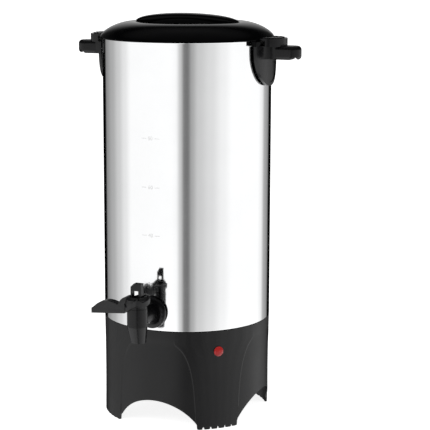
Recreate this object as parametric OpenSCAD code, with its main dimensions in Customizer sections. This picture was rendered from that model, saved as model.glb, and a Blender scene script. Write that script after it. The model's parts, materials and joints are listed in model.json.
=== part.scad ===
// Percolator coffee urn: polished tank on an arched base, twist-lock lid, two side handles and a lever tap.
// Origin on the urn's axis at the plane of the feet, +Z up, tap towards -Y, handles towards +X and -X.

/* [Tank] */
// Outer radius of the tank wall
tank_r = 115; // [95:1:140]
// Height of the tank wall above its floor
tank_h = 384; // [320:1:470]
// Thickness of the tank sheet
tank_wall = 1; // [0.8:0.1:1.4]
// Radius of the rolled bead on the rim
bead_r = 1.6; // [1.2:0.1:2]
// Outer radius of the heating well in the floor
well_r = 33; // [28:1:38]
// Depth of the heating well
well_d = 14; // [10:1:18]

/* [Base] */
// Height of the base
base_h = 137; // [125:1:165]
// Wall of the base shell
base_wall = 3; // [2.4:0.1:3.6]
// How far the base draws in at its waist
base_waist = 0.7; // [0.4:0.1:1.6]
// Radius of each arch between the feet
arch_r = 68.5; // [60:0.5:72]
// Height of an arch above the floor
arch_rise = 38.4; // [30:0.2:46]
// Half-width of an arch between the upright sides of two feet
arch_w = 57.9; // [52:0.1:60]
// Half-width of an arch panel at its foot
panel_foot = 57.5; // [55:0.5:66]
// Half-width of an arch panel at its head
panel_head = 30; // [22:1:38]
// Depth of an arch panel below the foot columns
panel_in = 0.5; // [0.3:0.1:1.2]
// Width of one notch under a foot
notch_w = 3; // [2:0.1:4]
// Height of one notch under a foot
notch_h = 3.2; // [1.5:0.1:4]
// Angle between notches under a foot
notch_step = 5.2; // [4.5:0.1:6]

/* [Lid] */
// Outer radius of the lid skirt beyond the tank wall
lid_over = 3.5; // [3.3:0.1:5]
// How far the skirt hangs below the tank rim
skirt_drop = 1; // [0.5:0.1:1.5]
// Height of the lid crest above the skirt's lower edge
crest_h = 21.8; // [19:0.2:28]
// Radius of the lid crest
crest_r = 76; // [60:1:82]
// Radius of the sunken middle's floor
bowl_r = 52; // [40:1:56]
// Height of the sunken floor above the skirt's lower edge
bowl_h = 6; // [5:0.5:9]
// Thickness of the lid shell
lid_t = 2.4; // [2:0.1:3]
// Width of the bridge handle
bridge_w = 26; // [20:1:34]
// Rise of the bridge handle above the skirt's lower edge
bridge_h = 33; // [29:0.2:42]
// Thickness of the bridge handle
bridge_t = 7.6; // [6.5:0.1:9]
// Angle of the lid lugs before the handles
lug_angle = 18; // [17:0.5:24]

/* [Side handles] */
// Reach of a side handle beyond the tank wall
grip_reach = 49; // [40:1:60]
// Width of a grip
grip_w = 28; // [22:1:34]
// Height of a grip under the lid catch
grip_h = 17; // [14:1:20]
// Height of the grip's outer end above the seat of the lid catch
grip_crown = 1.4; // [0.8:0.1:2]
// Half-width of the flared root where it meets the shield plate
root_w = 33; // [28:1:36]
// Half-width of the shield plate
shield_w = 38; // [30:1:44]
// Height of the shield plate
shield_h = 54; // [44:1:66]
// Thickness of the shield plate
shield_t = 3.8; // [3:0.2:5]
// Radius of the half-round lid catch
catch_r = 26.5; // [22:0.5:28]

/* [Tap] */
// Reach from the tank wall to the spout's axis
tap_reach = 48; // [42:1:60]
// Height of the shank's axis above the tank floor
tap_rise = 25; // [22:1:40]
// Radius of the valve chamber
chamber_r = 10; // [8.5:0.5:12]
// Wall of the tap barrel
barrel_t = 3.5; // [2.5:0.1:4.2]
// Outer radius of the spout's mouth
spout_r = 10; // [8:0.5:11]
// How far the spout's mouth is set back towards the tank
spout_back = 3.5; // [2:0.5:5]
// Radius of the shank
shank_r = 9; // [8:0.5:10]
// Radius of the round flange on the tank
flange_r = 21; // [18:0.5:24]
// Length of the lever from the stem's axis to its tip
lever_len = 64; // [50:1:80]
// Lift of the stem over an eighth of a turn
cam_lift = 5; // [3:0.5:6]
// Radius of the valve stem
stem_r = 3.5; // [3:0.1:4]

/* [Percolator] */
// Radius of the brew basket
basket_r = 84; // [60:1:92]
// Height of the brew basket
basket_h = 92; // [60:1:110]
// Outer radius of the pump tube
tube_r = 5; // [4:0.5:6]
// Distance from the top of the pump tube to the tank rim
tube_drop = 16; // [8:1:30]
// Distance from the basket's lid to the tank rim
basket_drop = 37; // [28:1:60]

/* [Indicator and inlet] */
// Radius of the indicator lens
lens_r = 6; // [5:0.5:7]
// Height of the indicator above the floor
lens_z = 108; // [95:1:115]
// Width of the mains inlet's flange
inlet_w = 52; // [48:1:54]
// Height of the mains inlet above the floor
inlet_z = 86; // [76:1:96]

/* [Hidden] */
$fn = 72;

eps = 0.5;          // overshoot of every cut
seam = 0.01;        // how far joined pieces of one solid run into each other
gap = 0.3;          // clearance between bodies that only rest or hang near each other
fit = 0.05;         // radial clearance of a shaft in its hole
charcoal = [0.13, 0.13, 0.14];
black = [0.05, 0.05, 0.055];
steel = [0.78, 0.79, 0.8];
zinc = [0.62, 0.63, 0.64];
silicone = [0.85, 0.85, 0.82];
ceramic = [0.88, 0.86, 0.8];
copper = [0.72, 0.4, 0.25];

// Levels
rim_z = base_h + tank_h;
floor_top = base_h + tank_wall;
well_z = base_h - well_d;
skirt_z = rim_z - skirt_drop;
lid_r = tank_r + lid_over;
inner_r = tank_r - tank_wall;

// Base fittings
flange_t = 4;
base_flange_w = 22;
stud_r = 2;
stud_ring = tank_r - 13;
stud_len = 11;
stud_angles = [0, 90, 180, 270];
cover_t = 2;
cover_z = arch_rise + 5;
boss_r = 5.5;
boss_ring = tank_r - base_waist - base_wall - 4.8;
boss_angles = [22, 114, 202, 292];
screw_r = 1.6;
screw_head_r = 3.6;
screw_head_h = 2.4;

// Centre stud under the well, with what hangs on it
centre_stud_r = 3;
centre_stud_end = well_z - 32;
nut_h = 5;
thin_nut_h = 3;
clamp_t = 2;
brew_tube_r = 4;
brew_ring = well_r - 13;
clamp_z = well_z - 2 * brew_tube_r - 2 * gap - clamp_t;
shield_disc_z = clamp_z - nut_h - 8;
shield_disc_t = 1.2;
warm_tube_r = 3.3;
sensor_ring = well_r + 11;
warm_ring = sensor_ring + 14;
warm_z = base_h - gap - warm_tube_r;
sensor_r = 8.5;
sensor_h = 9;
strap_t = 1.2;

// Lid
crest_in = crest_r - 5;
sink_bend = 0.42 * (crest_in - bowl_r);
skirt_t = lid_t - 0.4;
shoulder_low = 1.5;
bridge_sink = 0.6;
bridge_over = 1;
lug_in = tank_r + 1.75;
lug_out = tank_r + 9.5;
lug_w = 10;
lug_low = 6.5;

// Handles
wall_gap = 0.3;
grip_top = skirt_z - 8.5;
grip_low = grip_top - grip_h;
shield_gap = 2.9;
shield_mid = grip_low + 9;
shield_top = skirt_z - lug_low - 0.7;
shield_rim_w = 4.5;
shield_rim_h = 0.9;
root_flare = 19;
root_drop = 1;
tip_notch_r = 4.8;
grip_corner = 5;
tip_notch_in = 8;
catch_floor = grip_top + gap;
catch_top = skirt_z + 2.6;
ridge_h = 1.4;
catch_screw_x = [tank_r + 13, tank_r + 21];
catch_screw_seat = catch_top - 2.5;
catch_screw_len = 8;
channel_low = 1;
channel_high = 0.4;
handle_screw_y = 12;
handle_screw_z = grip_low + grip_h / 2;
handle_screw_r = 2.4;
handle_screw_len = 15;
washer_r = 6;
washer_t = 1;

// Tap
tap_y = -(tank_r + tap_reach);
tap_z = base_h + tap_rise;
chamber_z = tap_z - 12;
spout_z = tap_z - 30.5;
barrel_top = tap_z + 16;
shank_bore = 5.5;
orifice_r = 5.5;
barrel_r = chamber_r + barrel_t;
outlet_r = spout_r - 2.5;
outlet_back = spout_back - 1;
taper_top = tap_z - 8;
lip_h = 10;
neck_r = shank_r + 2.5;
seat_t = 4;
bonnet_t = 6;
cup_r = 8.5;
cup_h = 5.7;
cup_neck_r = 5;
cup_neck_h = 4;
collar_in = barrel_r + 0.8;
collar_r = collar_in + 2.7;
dome_r = 9.6;
dome_h = 8;
dome_gaps = [[-67, 6, 3], [90, 18, 1.2]];     // angle, width and height above the hub's underside
cam_out = barrel_r - 0.5;
cam_in = chamber_r + 0.8;
crown_peak = barrel_top + 1 + cam_lift;
hub_z = crown_peak + 2;
hub_t = 2.5;
head_z = hub_z + hub_t + gap;
head_h = 22.5;
head_w = 15.5;
head_d = 8;
head_cut = 4.5;
slot_left = 2;
slot_right = 4.5;
slot_low = 1.2;
slot_high = 9.7;
cup_base = 2.2;
washer_out_t = 2.2;
flange_y = -(tank_r + washer_out_t + gap);
flange_h = 7;
nut_y = -(inner_r - 3);
tap_nut_h = 8;
shank_end = nut_y + tap_nut_h + 3;
wire_coil = 0.6;
coil_r = 6.4;
coil_turns = 6;

// Percolator
tube_bore = tube_r - 0.8;
tube_z = well_z + tank_wall + 4;
bell_r = well_r - tank_wall - 2.5;
bell_t = 1.2;
bell_h = 24;
bell_neck_h = 9;
tube_l = rim_z - tube_drop - tube_z;
basket_z = rim_z - basket_drop - basket_h;
collar_t = 2;
stop_r = 9;
basket_t = 0.8;
basket_lip = 3;
sleeve_r = tube_r + gap;
sleeve_h = 24;
valve_r = 12;
valve_t = 1.5;
valve_travel = 3;

// Indicator and inlet
lens_angle = -45;
lens_head_r = lens_r + 0.8;
lens_seat = tank_r - base_waist + 0.75;
retainer_x = lens_seat - base_wall - 3.2;
inlet_h = 27;
inlet_flange_t = 2;
inlet_face = tank_r - 4.5;
inlet_body_w = 28;
inlet_body_h = 21;
inlet_depth = 24;
socket_w = 23;
socket_h = 15.5;
socket_d = 16;
inlet_screw_x = 20;
pin_w = 2;
pin_h = 4;
pin_tail = 7;
inlet_pin_places = [[-7, -2], [0, 2], [7, -2]];
block_x = -38;
block_y = 34;
block_l = 36;
block_w = 16;
block_h = 15;
pole_step = 11;
wire_z = cover_z + cover_t + 10;
wire_r = 1.2;

// ---------- helpers ----------

// Tube along Z
module tube(r_out, r_in, h) {
    difference() {
        cylinder(r = r_out, h = h);
        translate([0, 0, -eps]) cylinder(r = r_in, h = h + 2 * eps);
    }
}

// Copies of the children at each angle about the urn's axis
module around(angles) {
    for (a = angles) rotate([0, 0, a]) children();
}

// Moves the children to the tap's vertical axis
module at_tap() {
    translate([0, tap_y, 0]) children();
}

// Turns +Z into -Y, at the shank's height: children run outwards along the shank
module along_shank(y) {
    translate([0, y, tap_z]) rotate([90, 0, 0]) children();
}

// Pan-head screw, head below z = 0, shaft upwards
module pan_screw(r, len, head_r, head_h) {
    translate([0, 0, -head_h]) cylinder(r = head_r, h = head_h);
    translate([0, 0, -0.01]) cylinder(r = r, h = len + 0.01);
}

// Hexagon nut along Z with a round hole
module hex_nut(across, r, h) {
    difference() {
        cylinder(r = across / sqrt(3), h = h, $fn = 6);
        translate([0, 0, -eps]) cylinder(r = r, h = h + 2 * eps);
    }
}

// One point of a cubic curve
function bezier(p, t) =
    pow(1 - t, 3) * p[0] + 3 * pow(1 - t, 2) * t * p[1] + 3 * (1 - t) * t * t * p[2] + pow(t, 3) * p[3];
function curve(p, n) = [for (i = [0:n]) bezier(p, i / n)];

// Height of a four-lobed wave: 1 on the lobes, 0 between them
function lobe(a) = 1 - abs(((a + 360) % 90) - (((a + 360) % 90) > 45 ? 90 : 0)) / 45;

// Ring whose lower and upper edges are z_low and z_high plus a four-lobed wave
module wave_ring(r_in, r_out, z_low, low_wave, z_high, high_wave, n = 64) {
    step = 360 / n;
    points = [
        for (i = [0:n - 1])
            let (a = i * step, w = lobe(a), lo = z_low + low_wave * w, hi = z_high + high_wave * w)
                each [
                    [r_in * cos(a), r_in * sin(a), lo],
                    [r_out * cos(a), r_out * sin(a), lo],
                    [r_out * cos(a), r_out * sin(a), hi],
                    [r_in * cos(a), r_in * sin(a), hi]
                ]
    ];
    faces = [
        for (i = [0:n - 1], k = [0:3])
            let (j = (i + 1) % n, m = (k + 1) % 4)
                [4 * i + k, 4 * i + m, 4 * j + m, 4 * j + k]
    ];
    polyhedron(points = points, faces = faces, convexity = 6);
}

// Round wire through a list of points, eight sides
module wire(path, r, sides = 8) {
    n = len(path);
    function unit(v) = v / norm(v);
    function heading(i) =
        unit(i == 0 ? path[1] - path[0]
            : i == n - 1 ? path[n - 1] - path[n - 2]
            : unit(path[i] - path[i - 1]) + unit(path[i + 1] - path[i]));
    function side(d) = unit(cross(d, abs(d[2]) > 0.9 ? [1, 0, 0] : [0, 0, 1]));
    points = [
        for (i = [0:n - 1])
            let (d = heading(i), u = side(d), v = cross(d, u))
                for (k = [0:sides - 1])
                    path[i] + r * (cos(360 * k / sides) * u + sin(360 * k / sides) * v)
    ];
    faces = concat(
        [[for (k = [0:sides - 1]) k]],
        [
            for (i = [0:n - 2], k = [0:sides - 1])
                let (m = (k + 1) % sides)
                    [i * sides + m, i * sides + k, (i + 1) * sides + k, (i + 1) * sides + m]
        ],
        [[for (k = [sides - 1:-1:0]) (n - 1) * sides + k]]
    );
    polyhedron(points = points, faces = faces, convexity = 4);
}

// ---------- base ----------

function waist_r(z) = tank_r - base_waist * sin(180 * z / base_h);

module base_profile() {
    n = 10;
    outer = [for (i = [0:n]) let (z = base_h * i / n) [waist_r(z), z]];
    inner = [for (i = [n:-1:0]) let (z = (base_h - flange_t) * i / n) [waist_r(z) - base_wall, z]];
    flange_in = tank_r - base_flange_w;
    polygon(concat(outer, [[flange_in, base_h], [flange_in, base_h - flange_t]], inner));
}

// Outline of one arch panel, widest at its foot
module panel_outline() {
    side = curve([
        [panel_foot, -1], [panel_foot - 3, 0.3 * base_h], [panel_foot - 0.5, 0.75 * base_h],
        [panel_head, 0.86 * base_h]
    ], 8);
    polygon(concat(side, [for (i = [len(side) - 1:-1:0]) [-side[i][0], side[i][1]]]));
}

// The panels, deepest at the arch and fading towards their heads
module arch_panels() {
    n = 10;
    rings = [for (i = [0:n]) let (z = base_h * i / n) [waist_r(z) - panel_in * (1 - 0.8 * z / base_h), z]];
    around([0, 90, 180, 270])
        difference() {
            rotate([90, 0, 0]) linear_extrude(height = tank_r + 5) panel_outline();
            rotate_extrude($fn = 120) polygon(concat([[0, -2], [rings[0][0], -2]], rings, [[0, base_h]]));
        }
}

module arches() {
    for (a = [0, 90])
        rotate([0, 0, a])
            intersection() {
                translate([0, 0, arch_rise - arch_r])
                    rotate([90, 0, 0]) cylinder(r = arch_r, h = 2 * tank_r + 10, center = true, $fn = 120);
                translate([-arch_w, -tank_r - 8, -arch_r]) cube([2 * arch_w, 2 * tank_r + 16, 2 * arch_r]);
            }
}

// Round-topped notches under the feet
module foot_notches() {
    for (foot = [45, 135, 225, 315], i = [-2:2])
        rotate([0, 0, foot + i * notch_step])
            translate([tank_r - 10, 0, 0]) rotate([90, 0, 90])
                linear_extrude(height = 20)
                    polygon(concat(
                        [[-notch_w / 2, -1]],
                        [for (k = [0:6]) [
                            -notch_w / 2 * cos(30 * k),
                            notch_h - notch_w / 2 + notch_w / 2 * sin(30 * k)
                        ]],
                        [[notch_w / 2, -1]]
                    ));
}

module base_shell() {
    color(charcoal)
        difference() {
            union() {
                difference() {
                    rotate_extrude($fn = 120) base_profile();
                    arches();
                    arch_panels();
                    foot_notches();
                }
                // screw posts for the bottom cover
                around(boss_angles)
                    translate([boss_ring, 0, cover_z + cover_t])
                        cylinder(r = boss_r, h = base_h - flange_t - cover_z - cover_t + 1);
                // flat-faced housing for the mains inlet
                intersection() {
                    translate([-inlet_w / 2 - 4, inlet_face - 6, inlet_z - inlet_h / 2 - 4])
                        cube([inlet_w + 8, 10, inlet_h + 8]);
                    cylinder(r = tank_r - base_waist - 0.5, h = base_h);
                }
            }
            around(boss_angles)
                translate([boss_ring, 0, cover_z + cover_t - eps]) cylinder(r = screw_r + fit, h = 16);
            around(stud_angles)
                translate([stud_ring, 0, base_h - flange_t - eps])
                    cylinder(r = stud_r + gap, h = flange_t + 2 * eps);
            rotate([0, 0, lens_angle]) translate([tank_r - 15, 0, lens_z])
                rotate([0, 90, 0]) cylinder(r = lens_r + gap, h = 20);
            translate([-inlet_w / 2 - gap, inlet_face, inlet_z - inlet_h / 2 - gap])
                cube([inlet_w + 2 * gap, 20, inlet_h + 2 * gap]);
            translate([-inlet_body_w / 2 - gap, inlet_face - 20, inlet_z - inlet_body_h / 2 - gap])
                cube([inlet_body_w + 2 * gap, 30, inlet_body_h + 2 * gap]);
            for (x = [-inlet_screw_x, inlet_screw_x])
                translate([x, inlet_face - 10, inlet_z])
                    rotate([-90, 0, 0]) cylinder(r = screw_r + fit, h = 20);
        }
}

module bottom_cover() {
    cover_r = tank_r - base_waist - base_wall - 0.8;
    color(charcoal)
        difference() {
            translate([0, 0, cover_z]) cylinder(r = cover_r, h = cover_t, $fn = 120);
            around(boss_angles)
                translate([boss_ring, 0, cover_z - eps]) cylinder(r = screw_r + gap, h = cover_t + 2 * eps);
            // vent slots
            for (a = [0:22.5:359])
                rotate([0, 0, a]) translate([48, -1.5, cover_z - eps]) cube([30, 3, cover_t + 2 * eps]);
        }
}

module cover_screws() {
    color(zinc)
        around(boss_angles)
            translate([boss_ring, 0, cover_z]) pan_screw(screw_r, 14, screw_head_r, screw_head_h);
}

// ---------- tank ----------

module tank_profile() {
    polygon([
        [0, well_z], [well_r, well_z], [well_r, base_h], [tank_r, base_h], [tank_r, rim_z],
        [inner_r, rim_z], [inner_r, floor_top], [well_r - tank_wall, floor_top],
        [well_r - tank_wall, well_z + tank_wall], [0, well_z + tank_wall]
    ]);
}

module tank() {
    color(steel)
        difference() {
            union() {
                rotate_extrude($fn = 120) tank_profile();
                rotate_extrude($fn = 120) translate([tank_r - 0.5, rim_z]) circle(r = bead_r, $fn = 32);
                around(stud_angles)
                    translate([stud_ring, 0, base_h - stud_len])
                        cylinder(r = stud_r, h = stud_len + tank_wall / 2);
                translate([0, 0, centre_stud_end])
                    cylinder(r = centre_stud_r, h = well_z - centre_stud_end + tank_wall / 2);
            }
            along_shank(-tank_r + 20) cylinder(r = shank_r + gap, h = 40);
            for (a = [0, 180], y = [-handle_screw_y, handle_screw_y])
                rotate([0, 0, a]) translate([tank_r - 10, y, handle_screw_z])
                    rotate([0, 90, 0]) cylinder(r = handle_screw_r + gap, h = 20);
        }
}

module tank_nuts() {
    color(zinc)
        around(stud_angles)
            translate([stud_ring, 0, base_h - flange_t - 4]) hex_nut(7, stud_r + fit, 4);
}

// ---------- side handles and lid catches ----------

// Half-round outline centred on the tank wall, outside the given radius
module half_round(r, clear_r, z, h) {
    difference() {
        translate([tank_r + 2, 0, z]) cylinder(r = r, h = h);
        translate([0, 0, z - eps]) cylinder(r = clear_r, h = h + 2 * eps, $fn = 120);
    }
}

// Outline of the shield plate about the middle of the grip, rounded below and flat above
module shield_outline(in) {
    n = 16;
    top = shield_top - shield_mid;
    low = shield_h - top;
    polygon(concat(
        [for (i = [0:n]) let (a = 180 + 180 * i / n) [(shield_w - in) * cos(a), (low - in) * sin(a)]],
        [[shield_w - in, top - in], [in - shield_w, top - in]]
    ));
}

// Shell between two radii with the shield's outline
module shield_shell(r_in, r_out, in) {
    intersection() {
        translate([0, 0, shield_top - shield_h - eps]) difference() {
            cylinder(r = r_out, h = shield_h + 2 * eps, $fn = 120);
            translate([0, 0, -eps]) cylinder(r = r_in, h = shield_h + 4 * eps, $fn = 120);
        }
        translate([tank_r / 2, 0, shield_mid])
            rotate([90, 0, 90]) linear_extrude(height = tank_r) shield_outline(in);
    }
}

// Outline of the root: it sweeps in from the shield plate to the sides of the grip
module root_outline() {
    foot = sqrt(pow(tank_r + shield_gap + shield_t - shield_rim_h, 2) - pow(root_w, 2));
    side = curve([
        [foot, root_w], [foot + 3, root_w - 10], [tank_r + 6, grip_w / 2 + 1],
        [tank_r + root_flare, grip_w / 2 - 0.2]
    ], 10);
    polygon(concat(
        [[tank_r - 5, root_w]], side, [for (i = [len(side) - 1:-1:0]) [side[i][0], -side[i][1]]],
        [[tank_r - 5, -root_w]]
    ));
}

// Half of the grip's section, from its bottom to its top, with round corners
function grip_section() =
    let (half = grip_w / 2 - grip_corner, top = grip_h + grip_crown - grip_corner)
        concat(
            [for (a = [0:15:90]) [half + grip_corner * sin(a), grip_corner * (1 - cos(a))]],
            [for (a = [0:15:90]) [half + grip_corner * cos(a), top + grip_corner * sin(a)]]
        );

// Grip: a bar with a round end, along +X from the tank
module grip() {
    start = tank_r - 5;
    end = tank_r + grip_reach - grip_w / 2;
    section = grip_section();
    translate([start, 0, grip_low]) rotate([90, 0, 90]) linear_extrude(height = end - start)
        polygon(concat(section, [for (i = [len(section) - 1:-1:0]) [-section[i][0], section[i][1]]]));
    translate([end, 0, grip_low]) rotate_extrude()
        polygon(concat([[0, 0]], section, [[0, grip_h + grip_crown]]));
}

module handle() {
    difference() {
        union() {
            difference() {
                translate([0, 0, grip_low + root_drop])
                    linear_extrude(height = grip_h - root_drop) root_outline();
                translate([0, 0, grip_low - eps])
                    cylinder(r = tank_r + shield_gap + seam, h = grip_h + 2 * eps, $fn = 120);
            }
            difference() {
                grip();
                translate([0, 0, grip_low - eps])
                    cylinder(r = tank_r + wall_gap, h = grip_h + grip_crown + 2 * eps, $fn = 120);
            }
            // shield plate, a shell that stands off the wall, with a rim around a lower panel
            shield_shell(tank_r + shield_gap, tank_r + shield_gap + shield_t - shield_rim_h, 0);
            difference() {
                shield_shell(tank_r + shield_gap, tank_r + shield_gap + shield_t, 0);
                shield_shell(tank_r, tank_r + shield_gap + 2 * shield_t, shield_rim_w);
            }
        }
        // seat of the lid catch
        translate([tank_r + 2, 0, grip_top]) cylinder(r = catch_r + gap, h = 10);
        for (y = [-handle_screw_y, handle_screw_y])
            translate([tank_r - 5, y, handle_screw_z])
                rotate([0, 90, 0]) cylinder(r = handle_screw_r + fit, h = handle_screw_len + 2);
        for (x = catch_screw_x)
            translate([x, 0, grip_top - catch_screw_len - 1])
                cylinder(r = screw_r + fit, h = catch_screw_len + 4);
        // notch under the tip
        translate([tank_r + grip_reach - tip_notch_in, 0, grip_low])
            rotate([90, 0, 0]) cylinder(r = tip_notch_r, h = grip_w + 4, center = true);
    }
}

module handle_right() {
    color(black) handle();
}

module handle_left() {
    color(black) rotate([0, 0, 180]) handle();
}

module lid_catch() {
    difference() {
        union() {
            half_round(catch_r, lid_r + 0.6, catch_floor, catch_top - catch_floor);
            // curved ridges on top
            for (r = [catch_r - 4, catch_r - 10])
                difference() {
                    translate([tank_r + 2, 0, catch_top - 1]) tube(r, r - 2.4, 1 + ridge_h);
                    translate([0, 0, catch_top - 2]) cylinder(r = lid_r + 2, h = 4, $fn = 120);
                }
        }
        // channel for the lid lug, open at both ends
        translate([0, 0, catch_floor + channel_low])
            cylinder(r = lug_out + 0.9, h = skirt_z + channel_high - catch_floor - channel_low, $fn = 120);
        for (x = catch_screw_x) {
            translate([x, 0, catch_floor - eps]) cylinder(r = screw_r + gap, h = 20);
            translate([x, 0, catch_screw_seat]) cylinder(r = screw_head_r + gap, h = 10);
        }
    }
}

module lid_catch_right() {
    color(black) lid_catch();
}

module lid_catch_left() {
    color(black) rotate([0, 0, 180]) lid_catch();
}

module catch_screws() {
    color(zinc)
        for (a = [0, 180], x = catch_screw_x)
            rotate([0, 0, a]) translate([x, 0, catch_screw_seat]) rotate([180, 0, 0])
                pan_screw(screw_r, catch_screw_seat - grip_top + catch_screw_len, screw_head_r, 1.8);
}

module handle_screws() {
    color(steel)
        for (a = [0, 180], y = [-handle_screw_y, handle_screw_y])
            rotate([0, 0, a]) translate([inner_r - 1.6 - washer_t, y, handle_screw_z])
                rotate([0, 90, 0]) pan_screw(handle_screw_r, handle_screw_len, 4.5, 2.8);
}

module handle_washers() {
    color(steel)
        for (a = [0, 180], y = [-handle_screw_y, handle_screw_y])
            rotate([0, 0, a]) translate([inner_r - 1.6 - washer_t, y, handle_screw_z])
                rotate([0, 90, 0]) tube(washer_r, handle_screw_r + fit, washer_t);
}

// ---------- lid ----------

// Upper and lower surfaces of the lid, from the skirt to the sunken floor
function shoulder(drop, in) = curve([
    [lid_r - in, shoulder_low],
    [lid_r - 2 - in, shoulder_low + 7 - drop / 2],
    [crest_r + (lid_r - crest_r) * 0.52 - drop / 2, crest_h - 1.1 - drop],
    [crest_r, crest_h - drop]
], 12);
function sink(drop, in) = curve([
    [crest_in + in / 2, crest_h - drop],
    [crest_in - sink_bend + in, crest_h - 0.6 - drop],
    [bowl_r + sink_bend + in, bowl_h + 1 - drop],
    [bowl_r + in / 2, bowl_h - drop]
], 10);

module lid_profile() {
    top = concat([[lid_r, 0]], shoulder(0, 0), sink(0, 0), [[0, bowl_h]]);
    low = concat([[lid_r - skirt_t, 0]], shoulder(lid_t, skirt_t), sink(lid_t, lid_t), [[0, bowl_h - lid_t]]);
    polygon(concat(top, [for (i = [len(low) - 1:-1:0]) low[i]]));
}

// Side view of the bridge handle: a half-ellipse between the crests over a flatter underside
module bridge_outline() {
    span = crest_r + bridge_over;
    rise = bridge_h - crest_h + bridge_sink;
    arc_r = (span * span + rise * rise) / (2 * rise);
    low = crest_h - lid_t + 0.5;
    angles = [for (i = [0:48]) 180 * i / 48];
    polygon(concat(
        [for (a = angles) [span * cos(a), crest_h - bridge_sink + rise * sin(a)]],
        [for (a = angles) let (x = -span * cos(a))
            [x, max(low, bridge_h - arc_r + sqrt(pow(arc_r - bridge_t, 2) - x * x))]]
    ));
}

module lid_shell() {
    color(black)
        translate([0, 0, skirt_z]) difference() {
            union() {
                rotate_extrude($fn = 120) lid_profile();
                translate([0, bridge_w / 2, 0])
                    rotate([90, 0, 0]) linear_extrude(height = bridge_w) bridge_outline();
                // lugs of the twist lock
                for (a = [-lug_angle, 180 - lug_angle])
                    rotate([0, 0, a])
                        difference() {
                            union() {
                                translate([tank_r - 5, -lug_w / 2, -lug_low])
                                    cube([lug_out - tank_r + 5, lug_w, lug_low - 0.5]);
                                translate([tank_r - 5, -lug_w / 2, -lug_low])
                                    cube([lid_r - tank_r + 4.4, lug_w, lug_low + 0.5]);
                            }
                            translate([0, 0, -lug_low - eps]) cylinder(r = lug_in, h = lug_low + 2, $fn = 120);
                        }
            }
            // steam vents in the sunken floor
            for (a = [60, 90, 120])
                rotate([0, 0, a]) translate([bowl_r - 12, 0, -5]) cylinder(r = 2, h = 20);
        }
}

// Wedge-shaped ring between the rolled bead and the shoulder of the lid
module lid_seal() {
    top = shoulder(lid_t + gap, skirt_t + gap);
    seat = skirt_drop + bead_r + gap;
    color(silicone)
        translate([0, 0, skirt_z])
            rotate_extrude($fn = 120) polygon([[top[3][0], seat], [top[2][0], seat], top[2], top[3]]);
}

// ---------- tap ----------

module tap_body() {
    color(black)
        difference() {
            union() {
                at_tap() {
                    translate([0, 0, taper_top]) cylinder(r = barrel_r, h = barrel_top - taper_top);
                    hull() {
                        translate([0, 0, taper_top]) cylinder(r = barrel_r, h = 1);
                        translate([0, spout_back, spout_z]) cylinder(r = spout_r, h = lip_h);
                    }
                    wave_ring(cam_in, cam_out, barrel_top - 1, 0, crown_peak - cam_lift, cam_lift);
                }
                along_shank(shank_end) cylinder(r = shank_r, h = shank_end - tap_y);
                along_shank(flange_y - flange_h) cylinder(r = neck_r, h = flange_y - flange_h - tap_y);
            }
            at_tap() {
                translate([0, 0, chamber_z]) cylinder(r = chamber_r, h = hub_z - chamber_z);
                translate([0, 0, chamber_z - seat_t - eps]) cylinder(r = orifice_r, h = seat_t + 2 * eps);
                translate([0, outlet_back, spout_z - eps])
                    cylinder(r = outlet_r, h = chamber_z - seat_t - spout_z + 2 * eps);
            }
            along_shank(shank_end + 1) cylinder(r = shank_bore, h = shank_end + 1 - tap_y);
        }
}

module tap_flange() {
    color(black)
        along_shank(flange_y)
            rotate_extrude()
                polygon([
                    [shank_r + gap, 0], [flange_r, 0], [flange_r, flange_h / 2], [flange_r - 1, flange_h - 2],
                    [flange_r - 6, flange_h], [shank_r + gap, flange_h - gap]
                ]);
}

module tap_washer_outer() {
    color(silicone)
        difference() {
            along_shank(-tank_r + 6) cylinder(r = flange_r - 3, h = washer_out_t + 6);
            cylinder(r = tank_r + gap, h = rim_z, $fn = 360);
            along_shank(-tank_r + 20) cylinder(r = shank_r + gap, h = 40);
        }
}

module tap_washer_inner() {
    color(silicone)
        difference() {
            intersection() {
                along_shank(nut_y) cylinder(r = shank_r + 6, h = 10);
                cylinder(r = inner_r - gap, h = rim_z, $fn = 360);
            }
            along_shank(nut_y + 20) cylinder(r = shank_r + gap, h = 40);
        }
}

module tap_nut() {
    color(black)
        along_shank(nut_y + tap_nut_h) hex_nut(26, shank_r + fit, tap_nut_h);
}

module tap_bonnet() {
    color(black)
        at_tap() translate([0, 0, barrel_top - bonnet_t]) tube(chamber_r - fit, stem_r + fit, bonnet_t);
}

module tap_stem() {
    color(black)
        at_tap() {
            translate([0, 0, chamber_z + gap + cup_base])
                cylinder(r = stem_r, h = head_z + 1 - chamber_z - gap - cup_base);
            difference() {
                translate([0, head_d / 2, head_z]) rotate([90, 0, 0]) linear_extrude(height = head_d)
                    polygon([
                        [-head_w / 2, 0], [head_w / 2, 0], [head_w / 2 - 0.6, head_h],
                        [head_cut - head_w / 2, head_h], [-head_w / 2, head_h - head_cut]
                    ]);
                translate([-head_w / 2 + slot_left, -head_d, head_z + slot_low])
                    cube([head_w - slot_left - slot_right, 2 * head_d, head_h - slot_low - slot_high]);
            }
        }
}

module seat_cup() {
    color(silicone)
        at_tap() translate([0, 0, chamber_z + gap])
            difference() {
                union() {
                    cylinder(r = cup_r, h = cup_h);
                    cylinder(r = cup_neck_r, h = cup_h + cup_neck_h);
                }
                translate([0, 0, cup_base]) cylinder(r = stem_r + fit, h = cup_h + cup_neck_h);
            }
}

module tap_spring() {
    low = chamber_z + cup_h + 2 * gap + wire_coil;
    high = barrel_top - bonnet_t - gap - wire_coil;
    steps = 14 * coil_turns;
    color(zinc)
        at_tap()
            wire([
                for (i = [0:steps])
                    let (a = 360 * coil_turns * i / steps)
                        [coil_r * cos(a), coil_r * sin(a), low + (high - low) * i / steps]
            ], wire_coil);
}

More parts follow.
